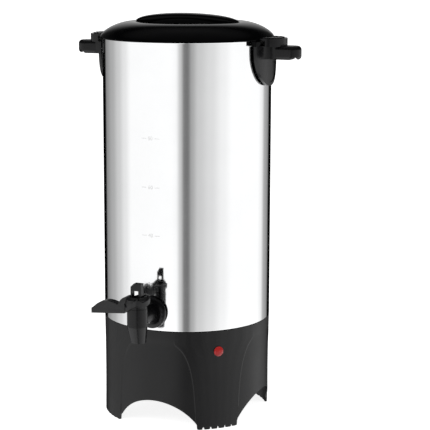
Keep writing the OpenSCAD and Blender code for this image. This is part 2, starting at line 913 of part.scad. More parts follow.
// Side view of the lever arm: x runs from the stem's axis to the tip
module lever_outline() {
    polygon(concat(
        [[barrel_r + 2, hub_z - 15], [lever_len, hub_z - 19], [lever_len, hub_z - 12]],
        curve([
            [lever_len - 3, hub_z - 10], [lever_len - 14, hub_z + 1], [lever_len - 24, hub_z + 1],
            [lever_len - 36, hub_z - 3.5]
        ], 8),
        curve([
            [barrel_r + 12, hub_z - 4], [barrel_r + 8, hub_z + 5], [barrel_r + 2, hub_z + dome_h],
            [dome_r - 0.5, hub_z + dome_h]
        ], 6),
        [[dome_r - 0.5, hub_z]]
    ));
}

// The collar's lower and upper edge at an angle round the stem's axis
function collar_edge(a) = [
    for (table = [
        [[-180, -10], [-125, -11], [-67, -0.5], [-40, -5], [23, 1.5], [100, 1.5], [180, -10]],
        [[-180, 1], [-125, -5.5], [-67, 6.9], [-40, 2.5], [23, 7], [100, 7], [180, 1]]
    ]) hub_z + lookup(a, table)
];

// The lower and upper edge of the skirt that closes the gap between the collar and the hub
function skirt_edge(a) =
    let (top = collar_edge(a)[1])
        [top - 1.5, max(top - 0.5, hub_z + 1)];

// Upright band round the stem's axis, from a list of its lower and upper edge at each angle
module band(inner, outer, edges) {
    n = len(edges);
    points = [
        for (i = [0:n - 1])
            let (a = -180 + 360 * i / n, z = edges[i])
                each [
                    [inner * cos(a), inner * sin(a), z[0]],
                    [outer * cos(a), outer * sin(a), z[0]],
                    [outer * cos(a), outer * sin(a), z[1]],
                    [inner * cos(a), inner * sin(a), z[1]]
                ]
    ];
    faces = [
        for (i = [0:n - 1], k = [0:3])
            let (j = (i + 1) % n, m = (k + 1) % 4)
                [4 * i + k, 4 * i + m, 4 * j + m, 4 * j + k]
    ];
    polyhedron(points = points, faces = faces, convexity = 6);
}

module tap_lever() {
    arm_w = 13;
    color(black)
        at_tap() {
            band(collar_in, collar_r, [for (a = [-180:4:176]) collar_edge(a)]);
            band(collar_in + 0.3, collar_in + 1.3, [for (a = [-180:6:174]) skirt_edge(a)]);
            difference() {
                translate([0, 0, hub_z]) cylinder(r = collar_in + 1, h = hub_t);
                translate([0, 0, hub_z - eps]) cylinder(r = stem_r + 0.6, h = hub_t + 2 * eps);
                rotate([0, 0, dome_gaps[1][0]])
                    translate([stem_r + 0.6, -dome_gaps[1][1] / 2, hub_z + dome_gaps[1][2]])
                        cube([collar_r, dome_gaps[1][1], hub_t]);
            }
            // raised dome round the stem's head, open before and behind the head's slot
            difference() {
                translate([0, 0, hub_z + 1]) rotate_extrude()
                    polygon([
                        [dome_r, 0], [collar_in + 0.6, 0], [collar_in + 0.6, dome_h - 4.5],
                        [collar_in - 1.5, dome_h - 2], [dome_r + 0.8, dome_h - 1], [dome_r, dome_h - 1.6]
                    ]);
                for (cut = dome_gaps)
                    rotate([0, 0, cut[0]]) translate([0, -cut[1] / 2, hub_z + cut[2]])
                        cube([collar_r, cut[1], dome_h]);
            }
            wave_ring(cam_in, cam_out, crown_peak - cam_lift + gap, cam_lift, hub_z + 0.5, 0);
            difference() {
                translate([0, arm_w / 2, 0]) rotate([90, 0, 0]) linear_extrude(height = arm_w)
                    mirror([1, 0]) lever_outline();
                translate([0, 0, hub_z - 20]) cylinder(r = collar_in + 0.6, h = 20.5);
                translate([0, 0, hub_z - 1]) cylinder(r = dome_r, h = 20);
            }
        }
}

// ---------- percolator ----------

module pump_tube() {
    color(steel)
        difference() {
            union() {
                translate([0, 0, tube_z]) cylinder(r = tube_r, h = tube_l);
                translate([0, 0, tube_z - 1.5]) cylinder(r = tube_r + 3, h = 1.5);
                translate([0, 0, tube_z + valve_t + valve_travel + 2 * gap])
                    cylinder(r = tube_r + 1.5, h = 1.2);
                translate([0, 0, basket_z - collar_t]) cylinder(r = stop_r, h = collar_t);
            }
            translate([0, 0, tube_z - 5]) cylinder(r = tube_bore, h = tube_l + 10);
        }
}

module pump_base() {
    low = well_z + tank_wall;
    neck = low + bell_h;
    color(steel)
        difference() {
            rotate_extrude()
                polygon([
                    [bell_r, low], [bell_r, low + 1.5], [tube_r + 2, neck], [tube_r + 2, neck + bell_neck_h],
                    [tube_r + fit, neck + bell_neck_h], [tube_r + fit, neck - bell_t], [bell_r - bell_t, low]
                ]);
            for (a = [0:60:359])
                rotate([0, 0, a]) translate([0, 0, low]) rotate([0, 90, 0]) cylinder(r = 2, h = bell_r + 5);
        }
}

module pump_valve() {
    color(zinc)
        translate([0, 0, tube_z + gap]) tube(valve_r, tube_r + gap, valve_t);
}

// Rings of round holes through a sheet: each ring is a share of the basket's radius and a number of holes
module sieve(rings, r, h) {
    for (ring = rings, i = [0:ring[1] - 1])
        rotate([0, 0, 360 * i / ring[1]])
            translate([ring[0] * basket_r, 0, 0]) cylinder(r = r, h = h, $fn = 24);
}

module brew_basket() {
    hole_r = 1.6;
    color(steel)
        difference() {
            union() {
                translate([0, 0, basket_z]) rotate_extrude($fn = 96)
                    polygon([
                        [sleeve_r, 0], [basket_r, 0], [basket_r, basket_h - basket_t],
                        [basket_r + basket_lip, basket_h - basket_t], [basket_r + basket_lip, basket_h],
                        [basket_r - basket_t, basket_h], [basket_r - basket_t, basket_t],
                        [sleeve_r + basket_t, basket_t], [sleeve_r + basket_t, sleeve_h], [sleeve_r, sleeve_h]
                    ]);
            }
            translate([0, 0, basket_z - eps])
                sieve([[0.3, 10], [0.52, 16], [0.74, 22]], hole_r, basket_t + 2 * eps);
            for (row = [0:2], i = [0:17])
                rotate([0, 0, 20 * i + 10 * (row % 2)])
                    translate([basket_r - 4, 0, basket_z + 12 + 12 * row])
                        rotate([0, 90, 0]) cylinder(r = hole_r, h = 10, $fn = 24);
        }
}

module basket_lid() {
    color(steel)
        translate([0, 0, basket_z + basket_h])
            difference() {
                rotate_extrude($fn = 96)
                    polygon([
                        [sleeve_r, 0], [basket_r + basket_lip, 0], [basket_r + basket_lip, 3],
                        [basket_r + basket_lip - basket_t, 3], [basket_r + basket_lip - basket_t, basket_t],
                        [sleeve_r, basket_t]
                    ]);
                translate([0, 0, -eps])
                    sieve([[0.25, 8], [0.5, 16], [0.75, 24]], 2, basket_t + 2 * eps);
            }
}

// ---------- heaters and electrics ----------

module heating_element() {
    z = well_z - gap - brew_tube_r;
    color(zinc)
        union() {
            rotate_extrude() translate([brew_ring, 0, 0]) translate([0, z]) circle(r = brew_tube_r, $fn = 32);
            for (x = [-brew_ring, brew_ring])
                translate([x, 0, z - 15]) cylinder(r = brew_tube_r - 1, h = 15);
        }
}

module element_clamp() {
    color(zinc)
        difference() {
            translate([0, 0, clamp_z]) cylinder(r = brew_ring + 8, h = clamp_t);
            translate([0, 0, clamp_z - eps]) cylinder(r = centre_stud_r + gap, h = clamp_t + 2 * eps);
            for (x = [-brew_ring, brew_ring])
                translate([x, 0, clamp_z - eps]) cylinder(r = brew_tube_r, h = clamp_t + 2 * eps);
        }
}

module stud_nuts() {
    color(zinc)
        for (nut = [
            [clamp_z - nut_h, nut_h], [shield_disc_z + shield_disc_t, thin_nut_h],
            [shield_disc_z - thin_nut_h, thin_nut_h]
        ])
            translate([0, 0, nut[0]]) hex_nut(10, centre_stud_r + fit, nut[1]);
}

module heat_shield() {
    color(steel)
        difference() {
            translate([0, 0, shield_disc_z]) cylinder(r = warm_ring + 14, h = shield_disc_t, $fn = 96);
            translate([0, 0, shield_disc_z - eps])
                cylinder(r = centre_stud_r + gap, h = shield_disc_t + 2 * eps);
            for (a = [30:60:359])
                rotate([0, 0, a]) translate([warm_ring, 0, shield_disc_z - eps])
                    cylinder(r = 6, h = shield_disc_t + 2 * eps);
        }
}

module keep_warm_element() {
    color(zinc)
        union() {
            rotate_extrude($fn = 96) translate([warm_ring, warm_z]) circle(r = warm_tube_r, $fn = 32);
            for (a = [196, 214])
                rotate([0, 0, a]) translate([warm_ring, 0, warm_z - 14])
                    cylinder(r = warm_tube_r - 0.8, h = 14);
        }
}

// U-shaped strap welded under the tank floor, around a part of the given width and height
module strap(width, height, depth) {
    for (x = [-width / 2 - strap_t, width / 2])
        translate([x, -depth / 2, base_h - height]) cube([strap_t, depth, height]);
    translate([-width / 2 - strap_t, -depth / 2, base_h - height - strap_t])
        cube([width + 2 * strap_t, depth, strap_t + seam]);
}

module keep_warm_clips() {
    color(zinc)
        around([30, 150, 270])
            translate([warm_ring, 0, 0]) strap(2 * warm_tube_r + 2 * gap, 2 * warm_tube_r + 2 * gap, 9);
}

module sensor() {
    translate([0, 0, base_h - gap - sensor_h]) cylinder(r = sensor_r, h = sensor_h);
    for (y = [-4, 4])
        translate([-3.15, y - 0.4, base_h - gap - sensor_h - 8]) cube([6.3, 0.8, 8.01]);
}

module thermostat() {
    color(ceramic) rotate([0, 0, 60]) translate([sensor_ring, 0, 0]) sensor();
}

module thermal_cutout() {
    color(ceramic) rotate([0, 0, 180]) translate([sensor_ring, 0, 0]) sensor();
}

module sensor_brackets() {
    color(zinc)
        around([60, 180])
            translate([sensor_ring, 0, 0])
                difference() {
                    strap(2 * sensor_r + 2 * gap, sensor_h + 2 * gap, 8);
                    translate([-4, -6, base_h - sensor_h - 6]) cube([8, 12, 5.8]);
                }
}

module terminal_block() {
    color(ceramic)
        difference() {
            translate([block_x - block_l / 2, block_y - block_w / 2, cover_z + cover_t])
                cube([block_l, block_w, block_h]);
            for (i = [-1:1]) {
                translate([block_x + pole_step * i, block_y - 3, cover_z + cover_t + 5])
                    cylinder(r = 2.4, h = block_h);
                translate([block_x + pole_step * i, block_y, wire_z])
                    rotate([90, 0, 0]) cylinder(r = 2, h = 2 * block_w, center = true);
            }
        }
}

module wiring() {
    pin_y = inlet_face + inlet_flange_t - inlet_depth - pin_tail;
    back = block_y + block_w / 2;
    front = block_y - block_w / 2;
    color(copper) {
        // from the inlet's tails to the terminal block
        for (i = [-1:1])
            wire([
                [7 * i, pin_y - gap, inlet_z], [7 * i, pin_y - 8, inlet_z - 2],
                [block_x / 2 + 9 * i, pin_y - 16, inlet_z - 12],
                [block_x + pole_step * i, back + 14, wire_z + 3], [block_x + pole_step * i, back - 5, wire_z]
            ], wire_r);
        // from the block towards the sensors and heaters
        wire([
            [block_x - pole_step, front + 5, wire_z], [block_x - pole_step - 1, front - 10, wire_z + 2],
            [-warm_ring - 22, 8, wire_z + 22], [-warm_ring - 20, 2, shield_disc_z + 8],
            [-sensor_ring - 3, 5, base_h - sensor_h - 20], [-sensor_ring, 4, base_h - sensor_h - 9]
        ], wire_r);
        wire([
            [block_x, front + 5, wire_z], [block_x, front - 12, wire_z + 2],
            [-warm_ring - 25, -10, wire_z + 20], [-warm_ring - 22, -14, shield_disc_z + 8],
            [-brew_ring - 14, -4, shield_disc_z + 5], [-brew_ring - 3, -1, shield_disc_z + 4.5]
        ], wire_r);
    }
}

module power_inlet() {
    front = inlet_face + inlet_flange_t;
    color(black)
        difference() {
            union() {
                translate([-inlet_w / 2, inlet_face, inlet_z - inlet_h / 2])
                    cube([inlet_w, inlet_flange_t, inlet_h]);
                translate([-inlet_body_w / 2, front - inlet_depth, inlet_z - inlet_body_h / 2])
                    cube([inlet_body_w, inlet_depth - 0.01, inlet_body_h]);
            }
            translate([-socket_w / 2, front - socket_d, inlet_z - socket_h / 2])
                cube([socket_w, socket_d + 1, socket_h]);
            for (x = [-inlet_screw_x, inlet_screw_x])
                translate([x, inlet_face - eps, inlet_z])
                    rotate([-90, 0, 0]) cylinder(r = screw_r + gap, h = inlet_flange_t + 2 * eps);
            for (pin = inlet_pin_places)
                translate([pin[0], front - inlet_depth - 1, inlet_z + pin[1]])
                    translate([-pin_w / 2 - fit, 0, -pin_h / 2 - fit])
                        cube([pin_w + 2 * fit, inlet_depth - socket_d + 2, pin_h + 2 * fit]);
        }
}

module inlet_pins() {
    front = inlet_face + inlet_flange_t;
    color(zinc)
        for (pin = inlet_pin_places)
            translate([pin[0] - pin_w / 2, front - inlet_depth - pin_tail, inlet_z + pin[1] - pin_h / 2])
                cube([pin_w, inlet_depth + pin_tail - 3, pin_h]);
}

module inlet_screws() {
    color(zinc)
        for (x = [-inlet_screw_x, inlet_screw_x])
            translate([x, inlet_face + inlet_flange_t, inlet_z])
                rotate([90, 0, 0]) pan_screw(screw_r, 8, 3.2, 1.4);
}

module indicator_lens() {
    color([0.75, 0.08, 0.06])
        rotate([0, 0, lens_angle]) translate([lens_seat, 0, lens_z]) rotate([0, 90, 0])
            difference() {
                union() {
                    translate([0, 0, -base_wall - 9]) cylinder(r = lens_r, h = base_wall + 9.5);
                    intersection() {
                        translate([0, 0, 0.2]) cylinder(r = lens_head_r, h = 6);
                        translate([0, 0, 3.2 - 10]) sphere(r = 10, $fn = 64);
                    }
                }
                translate([0, 0, -base_wall - 10]) cylinder(r = lens_r - 1.6, h = base_wall + 9.5);
            }
}

module indicator_lamp() {
    lamp_r = lens_r - 1.6 - gap;
    color([0.9, 0.6, 0.4])
        rotate([0, 0, lens_angle]) translate([lens_seat - base_wall - 14, 0, lens_z]) rotate([0, 90, 0])
            union() {
                cylinder(r = lamp_r, h = 15);
                translate([0, 0, -6]) cylinder(r = 0.6, h = 6.01);
            }
}

module lamp_retainer() {
    color(zinc)
        rotate([0, 0, lens_angle]) translate([retainer_x, 0, lens_z])
            rotate([0, 90, 0]) tube(lens_r + 3, lens_r + fit, 1.6);
}

base_shell();
bottom_cover();
cover_screws();
tank();
tank_nuts();
handle_right();
handle_left();
lid_catch_right();
lid_catch_left();
catch_screws();
handle_screws();
handle_washers();
lid_shell();
lid_seal();
tap_body();
tap_flange();
tap_washer_outer();
tap_washer_inner();
tap_nut();
tap_bonnet();
tap_stem();
seat_cup();
tap_spring();
tap_lever();
pump_tube();
pump_base();
pump_valve();
brew_basket();
basket_lid();
heating_element();
element_clamp();
stud_nuts();
heat_shield();
keep_warm_element();
keep_warm_clips();
thermostat();
thermal_cutout();
sensor_brackets();
terminal_block();
wiring();
power_inlet();
inlet_pins();
inlet_screws();
indicator_lens();
indicator_lamp();
lamp_retainer();
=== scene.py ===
"""Percolator coffee urn: polished tank, arched base, twist-lock lid, side handles and a lever tap."""

import json
import math

import bmesh
import bpy
from bmesh.types import BMEdge, BMVert
from bpy.props import FloatProperty, FloatVectorProperty, PointerProperty
from bpy.types import Operator, Panel, PropertyGroup
from mathutils import Matrix, Vector
from mathutils.geometry import interpolate_bezier


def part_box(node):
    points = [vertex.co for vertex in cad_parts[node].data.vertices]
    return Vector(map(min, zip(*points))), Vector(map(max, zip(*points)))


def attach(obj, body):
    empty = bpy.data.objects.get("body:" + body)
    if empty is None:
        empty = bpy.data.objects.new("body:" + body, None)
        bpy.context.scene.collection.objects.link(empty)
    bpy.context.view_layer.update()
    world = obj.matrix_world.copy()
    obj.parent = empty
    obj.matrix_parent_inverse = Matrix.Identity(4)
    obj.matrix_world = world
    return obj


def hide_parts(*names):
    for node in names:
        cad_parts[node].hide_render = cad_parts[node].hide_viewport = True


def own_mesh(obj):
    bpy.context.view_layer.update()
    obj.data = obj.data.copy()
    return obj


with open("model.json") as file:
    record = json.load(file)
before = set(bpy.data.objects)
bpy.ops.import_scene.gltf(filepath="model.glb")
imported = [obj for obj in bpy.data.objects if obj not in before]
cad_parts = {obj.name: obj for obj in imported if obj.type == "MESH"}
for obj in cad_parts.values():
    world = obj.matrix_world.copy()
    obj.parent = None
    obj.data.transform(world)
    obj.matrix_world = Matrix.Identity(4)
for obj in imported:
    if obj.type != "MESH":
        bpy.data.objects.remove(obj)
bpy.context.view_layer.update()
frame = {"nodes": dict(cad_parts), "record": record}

bl_info = {
    "name": "Percolator Urn",
    "version": (1, 0, 0),
    "blender": (4, 5, 0),
    "location": "View3D > Sidebar > Urn",
    "description": "Builds a percolator coffee urn piece by piece around its packed frame",
    "category": "Add Mesh",
}

MM = 0.001
MERGE = 0.002 * MM      # points closer than this are one
AROUND = 256            # steps of a full turn on the large round pieces
SHARP = 32              # angle in degrees past which an edge stays crisp
FLAT = 0.5              # angle in degrees up to which triangles belong to one flat face

TANK_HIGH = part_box("tank")[1]
BASE_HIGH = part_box("base_shell")[1]
LID_LOW, LID_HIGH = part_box("lid_shell")
INLET_LOW, INLET_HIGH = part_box("power_inlet")
COVER_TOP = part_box("bottom_cover")[1].z
BEAD = 1.6 * MM         # radius of the rolled bead on the tank's rim
LUG_DROP = 6.5 * MM     # how far the lid's lugs reach below its skirt
SKIRT_LOW = LID_LOW.z + LUG_DROP
CAMERA_TURN = 23.5      # degrees from the urn's front round to the camera
BODY_OF = {
    node: body for body, nodes in frame["record"]["behaviour"]["bodies"].items() for node in nodes
}


# ---------- settings ----------

def length(name, description, default):
    return FloatProperty(name=name, description=description, default=default, min=0, unit="LENGTH")


def colour(name, description, default):
    return FloatVectorProperty(
        name=name, description=description, default=default, size=4, min=0, max=1, subtype="COLOR"
    )


class UrnTankSettings(PropertyGroup):
    radius: length("Radius", "Outer radius of the tank wall", 115 * MM)
    foot: length("Foot", "Height of the tank's lower edge", BASE_HIGH.z)
    bead: length("Bead", "Radius of the rolled bead on the rim", BEAD)
    rim: length("Rim", "Height of the bead's middle", TANK_HIGH.z - BEAD)
    wall: length("Wall", "Thickness of the tank sheet", 1 * MM)
    well_radius: length("Well radius", "Outer radius of the heating well", 33 * MM)
    well_depth: length("Well depth", "Depth of the heating well", 14 * MM)
    mark_size: length("Mark size", "Type size of the numbers on the level marks", 7 * MM)
    mark_width: length("Mark width", "Width of one level mark", 26 * MM)
    mark_turn: FloatProperty(
        name="Mark turn", description="Angle of the level marks from the tank's front",
        default=math.radians(-1.3), subtype="ANGLE"
    )


class UrnBaseSettings(PropertyGroup):
    radius: length("Radius", "Outer radius of the base at its top and foot", 115 * MM)
    waist: length("Waist", "How far the base draws in at its waist", 0.7 * MM)
    wall: length("Wall", "Thickness of the base shell", 3 * MM)
    flange: length("Flange", "Width of the flange under the tank", 22 * MM)
    arch_radius: length("Arch radius", "Radius of an arch between the feet", 68.5 * MM)
    arch_rise: length("Arch rise", "Height of an arch above the floor", 38.4 * MM)
    arch_half: length("Arch half-width", "From an arch's middle to the upright side of a foot", 57.9 * MM)
    panel_foot: length("Panel foot", "Half-width of an arch panel at its foot", 57.5 * MM)
    panel_head: length("Panel head", "Half-width of an arch panel at its head", 30 * MM)
    panel_depth: length("Panel depth", "Depth of an arch panel at its foot", 0.8 * MM)
    notch_width: length("Notch width", "Width of a notch under a foot", 3 * MM)
    notch_height: length("Notch height", "Height of a notch under a foot", 3.2 * MM)
    notch_step: FloatProperty(
        name="Notch step", description="Angle between two notches", default=math.radians(5.2), subtype="ANGLE"
    )
    post: length("Screw post", "Radius of a screw post", 5.5 * MM)


class UrnLidSettings(PropertyGroup):
    radius: length("Radius", "Outer radius of the skirt", 118.5 * MM)
    crest_radius: length("Crest radius", "Radius of the crest", 76 * MM)
    crest_height: length("Crest height", "Height of the crest above the skirt's edge", 21.8 * MM)
    bowl_radius: length("Bowl radius", "Radius of the sunken floor", 52 * MM)
    bowl_height: length("Bowl height", "Height of the sunken floor above the skirt's edge", 6 * MM)
    shell: length("Shell", "Thickness of the lid shell", 2.4 * MM)
    bridge_width: length("Bridge width", "Width of the bridge handle", 26 * MM)
    bridge_height: length(
        "Bridge height", "Height of the bridge above the skirt's edge", LID_HIGH.z - SKIRT_LOW
    )
    bridge_thickness: length("Bridge thickness", "Thickness of the bridge handle", 7.6 * MM)
    bridge_crown: length("Bridge crown", "How far the bridge's long edges fall away", 1.6 * MM)


class UrnFinishSettings(PropertyGroup):
    steel: colour("Steel", "Polished steel of the tank", (0.93, 0.935, 0.94, 1))
    base_plastic: colour("Base plastic", "Moulded plastic of the base", (0.0045, 0.0045, 0.0049, 1))
    lid_plastic: colour("Lid plastic", "Glossy plastic of the lid", (0.0012, 0.0012, 0.0014, 1))
    handle_plastic: colour("Handle plastic", "Satin plastic of handles and tap", (0.0040, 0.0040, 0.0044, 1))
    lens: colour("Lens", "Indicator lens", (0.50, 0.030, 0.030, 1))
    ink: colour("Ink", "Printed level marks", (0.78, 0.78, 0.78, 1))
    dark_ink: colour("Dark ink", "Lowest level mark", (0.08, 0.08, 0.08, 1))
    # painted light: the lever's colour is a lighter copy of the handle plastic, standing in for the
    # highlights on its collar band
    lever_plastic: colour("Lever plastic", "Satin plastic of the lever", (0.0085, 0.0085, 0.0090, 1))


class UrnStageSettings(PropertyGroup):
    ambient: FloatProperty(name="Ambient", description="Even light on matt surfaces", default=0.5, min=0)
    key: FloatProperty(name="Key", description="Power of the key light", default=22, min=0, unit="POWER")
    fill: FloatProperty(name="Fill", description="Power of the fill light", default=8, min=0, unit="POWER")
    facing: FloatProperty(
        name="Facing", description="Direction of the camera about the urn's axis",
        default=math.radians(CAMERA_TURN - 90), subtype="ANGLE"
    )


# ---------- mesh helpers ----------

def profile_curve(start, start_handle, end_handle, end, count):
    """Points of a cubic curve between radius and height pairs."""
    return [tuple(point) for point in interpolate_bezier(start, start_handle, end_handle, end, count)]


def revolve(profile, steps=AROUND, closed=False):
    """Spin a list of radius and height pairs about the urn's axis."""
    bm = bmesh.new()
    verts = [bm.verts.new((radius, 0, height)) for radius, height in profile]
    edges = [bm.edges.new(pair) for pair in zip(verts, verts[1:])]
    if closed:
        edges.append(bm.edges.new((verts[-1], verts[0])))
    bmesh.ops.spin(
        bm, geom=verts + edges, cent=(0, 0, 0), axis=(0, 0, 1), dvec=(0, 0, 0),
        angle=math.tau, steps=steps, use_merge=True, use_duplicate=False
    )
    bmesh.ops.remove_doubles(bm, verts=bm.verts, dist=MERGE)
    bmesh.ops.recalc_face_normals(bm, faces=bm.faces)
    return bm


def only(kind, geom):
    """The items of one kind among those that an operator returns."""
    return [item for item in geom if isinstance(item, kind)]


def prism(outline, depth):
    """Raise a closed outline in the XY plane by depth along +Z."""
    bm = bmesh.new()
    face = bm.faces.new([bm.verts.new((x, y, 0)) for x, y in outline])
    raised = bmesh.ops.extrude_face_region(bm, geom=[face])["geom"]
    bmesh.ops.translate(bm, verts=only(BMVert, raised), vec=(0, 0, depth))
    bmesh.ops.recalc_face_normals(bm, faces=bm.faces)
    return bm


def sharp_edges(bm, angle):
    limit = math.radians(angle)
    return [edge for edge in bm.edges if len(edge.link_faces) == 2 and edge.calc_face_angle() > limit]


def soften(bm, width, segments=2, angle=SHARP):
    """Round every edge that is sharper than the angle."""
    bmesh.ops.bevel(
        bm, geom=sharp_edges(bm, angle), offset=width, offset_type="OFFSET", segments=segments,
        profile=0.5, affect="EDGES", clamp_overlap=True, material=-1
    )


def score(bm, point, normal, geom=None):
    """Add edges where a plane crosses the mesh, or only the part of it that is given."""
    bmesh.ops.bisect_plane(
        bm, geom=geom or bm.verts[:] + bm.edges[:] + bm.faces[:], dist=MERGE,
        plane_co=point, plane_no=normal
    )


def turned(angle, axis="Z"):
    """A turn by degrees about an axis of the frame."""
    return Matrix.Rotation(math.radians(angle), 4, axis)


def set_out(angle, reach, height=0):
    """A place at a reach from the urn's axis, turned round it by degrees."""
    return turned(angle) @ Matrix.Translation((reach, 0, height))


def place(bm, matrix):
    bmesh.ops.transform(bm, matrix=matrix, verts=bm.verts)
    return bm


def to_mesh(name, bm):
    """Make a mesh of a bmesh and free the bmesh."""
    mesh = bpy.data.meshes.new(name)
    bm.to_mesh(mesh)
    bm.free()
    return mesh


def merge(bm, *others):
    """Add the shells of other meshes to this one."""
    for other in others:
        mesh = to_mesh("shell", other)
        bm.from_mesh(mesh)
        bpy.data.meshes.remove(mesh)
    return bm


def shade(bm, angle):
    """Smooth faces, crisp past the angle."""
    limit = math.radians(angle)
    for face in bm.faces:
        face.smooth = True
    for edge in bm.edges:
        edge.smooth = len(edge.link_faces) == 2 and edge.calc_face_angle(0) < limit


def new_object(name, data):
    """Put an object of some data in the scene, at the origin."""
    thing = bpy.data.objects.new(name, data)
    bpy.context.scene.collection.objects.link(thing)
    return thing


def finish_piece(name, bm, finish, body, replaced=(), angle=SHARP):
    """Make an object of a mesh, with its material, body and the nodes it stands for."""
    shade(bm, angle)
    piece = new_object(name, to_mesh(name, bm))
    piece.data.materials.append(material(finish))
    flats = piece.modifiers.new("flat faces", "WEIGHTED_NORMAL")
    flats.keep_sharp = True
    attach(piece, body)
    if replaced:
        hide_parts(*replaced)
    return piece


def node_mesh(node):
    """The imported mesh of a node, with its loose triangles merged and its flats joined up."""
    bm = bmesh.new()
    bm.from_mesh(frame["nodes"][node].data)
    bmesh.ops.remove_doubles(bm, verts=bm.verts, dist=MERGE)
    bmesh.ops.dissolve_limit(
        bm, angle_limit=math.radians(FLAT), use_dissolve_boundaries=False, verts=bm.verts, edges=bm.edges
    )
    return bm


def refine(node, name, finish, rounding, segments=2, angle=SHARP):
    """Stand a copy of a node's mesh in for it, its sharp edges rounded by millimetres."""
    bm = node_mesh(node)
    if rounding:
        soften(bm, rounding * MM, segments, angle)
    return finish_piece(name, bm, finish, BODY_OF[node], [node])


# ---------- shader groups ----------

def new_group(name, inputs, outputs):
    """An empty shader group with named inputs and outputs, and its two end nodes."""
    group = bpy.data.node_groups.new(name, "ShaderNodeTree")
    for label, kind, value in inputs:
        socket = group.interface.new_socket(name=label, in_out="INPUT", socket_type=kind)
        if value is not None:
            socket.default_value = value
    for label, kind in outputs:
        group.interface.new_socket(name=label, in_out="OUTPUT", socket_type=kind)
    return group, group.nodes.new("NodeGroupInput"), group.nodes.new("NodeGroupOutput")


def add(tree, kind, **settings):
    """Add a node and set its properties."""
    node = tree.nodes.new(kind)
    for name, value in settings.items():
        setattr(node, name, value)
    return node


def feed(tree, value, socket):
    """Give an input another node's output, or a plain value."""
    if isinstance(value, bpy.types.NodeSocket):
        tree.links.new(value, socket)
    else:
        socket.default_value = value


def maths(tree, operation, first, second, clamp=False):
    """A Math node of two outputs or numbers."""
    node = add(tree, "ShaderNodeMath", operation=operation, use_clamp=clamp)
    feed(tree, first, node.inputs[0])
    feed(tree, second, node.inputs[1])
    return node.outputs[0]


def mixed(tree, kind, share, low, high):
    """A Mix node from low to high by a share; kind is FLOAT or RGBA."""
    node = add(tree, "ShaderNodeMix", data_type=kind)
    for name, value in (("A", low), ("B", high), ("Factor", share)):
        feed(tree, value, node.inputs[name])
    return node.outputs["Result"]


def ramp(tree, factor, stops, interpolation="LINEAR"):
    """A ramp of greys, given as positions and values."""
    node = add(tree, "ShaderNodeValToRGB")
    node.color_ramp.interpolation = interpolation
    points = node.color_ramp.elements
    while len(points) > 1:
        points.remove(points[-1])
    points[0].position = stops[0][0]
    points[0].color = (stops[0][1],) * 3 + (1,)
    for position, value in stops[1:]:
        points.new(position).color = (value,) * 3 + (1,)
    tree.links.new(factor, node.inputs["Fac"])
    return node.outputs["Color"]


def noise(tree, vector, scale, detail, roughness):
    node = add(tree, "ShaderNodeTexNoise")
    for name, value in (("Vector", vector), ("Scale", scale), ("Detail", detail), ("Roughness", roughness)):
        feed(tree, value, node.inputs[name])
    return node.outputs["Fac"]


def group_moulded_grain():
    """Fine pebbled grain of a spark-eroded mould."""
    tree, start, end = new_group(
        "moulded grain", [("Vector", "NodeSocketVector", None), ("Scale", "NodeSocketFloat", 1200)],
        [("Height", "NodeSocketFloat"), ("Speckle", "NodeSocketFloat")]
    )
    pebbles = add(tree, "ShaderNodeTexVoronoi", feature="SMOOTH_F1")
    tree.links.new(start.outputs["Vector"], pebbles.inputs["Vector"])
    tree.links.new(start.outputs["Scale"], pebbles.inputs["Scale"])
    fine = noise(tree, start.outputs["Vector"], start.outputs["Scale"], 4, 0.6)
    tree.links.new(maths(tree, "ADD", pebbles.outputs["Distance"], fine), end.inputs["Height"])
    patch_scale = maths(tree, "MULTIPLY", start.outputs["Scale"], 0.05)
    coarse = noise(tree, start.outputs["Vector"], patch_scale, 5, 0.7)
    tree.links.new(ramp(tree, coarse, [(0.35, 0), (0.65, 1)]), end.inputs["Speckle"])
    return tree


def group_brushed_lines():
    """Fine lines, as a rolling or polishing wheel leaves; Lines is how close they are along each axis."""
    tree, start, end = new_group(
        "brushed lines",
        [("Vector", "NodeSocketVector", None), ("Lines", "NodeSocketVector", (3, 3, 900))],
        [("Height", "NodeSocketFloat"), ("Streaks", "NodeSocketFloat")]
    )
    stretch = add(tree, "ShaderNodeVectorMath", operation="MULTIPLY")
    tree.links.new(start.outputs["Vector"], stretch.inputs[0])
    tree.links.new(start.outputs["Lines"], stretch.inputs[1])
    lines = noise(tree, stretch.outputs["Vector"], 1, 4, 0.7)
    tree.links.new(lines, end.inputs["Height"])
    tree.links.new(ramp(tree, lines, [(0.4, 0), (0.6, 1)]), end.inputs["Streaks"])
    return tree


def group_smudges():
    """Soft cloudy patches, as wiping and handling leave on a gloss."""
    tree, start, end = new_group(
        "smudges", [("Vector", "NodeSocketVector", None), ("Scale", "NodeSocketFloat", 14)],
        [("Mask", "NodeSocketFloat")]
    )
    clouds = noise(tree, start.outputs["Vector"], start.outputs["Scale"], 5, 0.6)
    tree.links.new(ramp(tree, clouds, [(0.42, 0), (0.72, 1)]), end.inputs["Mask"])
    return tree


def group_edge_wear():
    """Light rub along outer edges, broken up by noise, which also paints a highlight along them. Edge is the
    geometry's pointiness.
    """
    tree, start, end = new_group(
        "edge wear",
        [
            ("Edge", "NodeSocketFloat", 0.5), ("Vector", "NodeSocketVector", None),
            ("Amount", "NodeSocketFloat", 1),
        ],
        [("Mask", "NodeSocketFloat")]
    )
    edge = ramp(tree, start.outputs["Edge"], [(0.52, 0), (0.6, 1)])
    broken = ramp(tree, noise(tree, start.outputs["Vector"], 180, 4, 0.65), [(0.3, 0.2), (0.6, 1)])
    worn = maths(tree, "MULTIPLY", edge, broken)
    tree.links.new(maths(tree, "MULTIPLY", worn, start.outputs["Amount"], True), end.inputs["Mask"])
    return tree


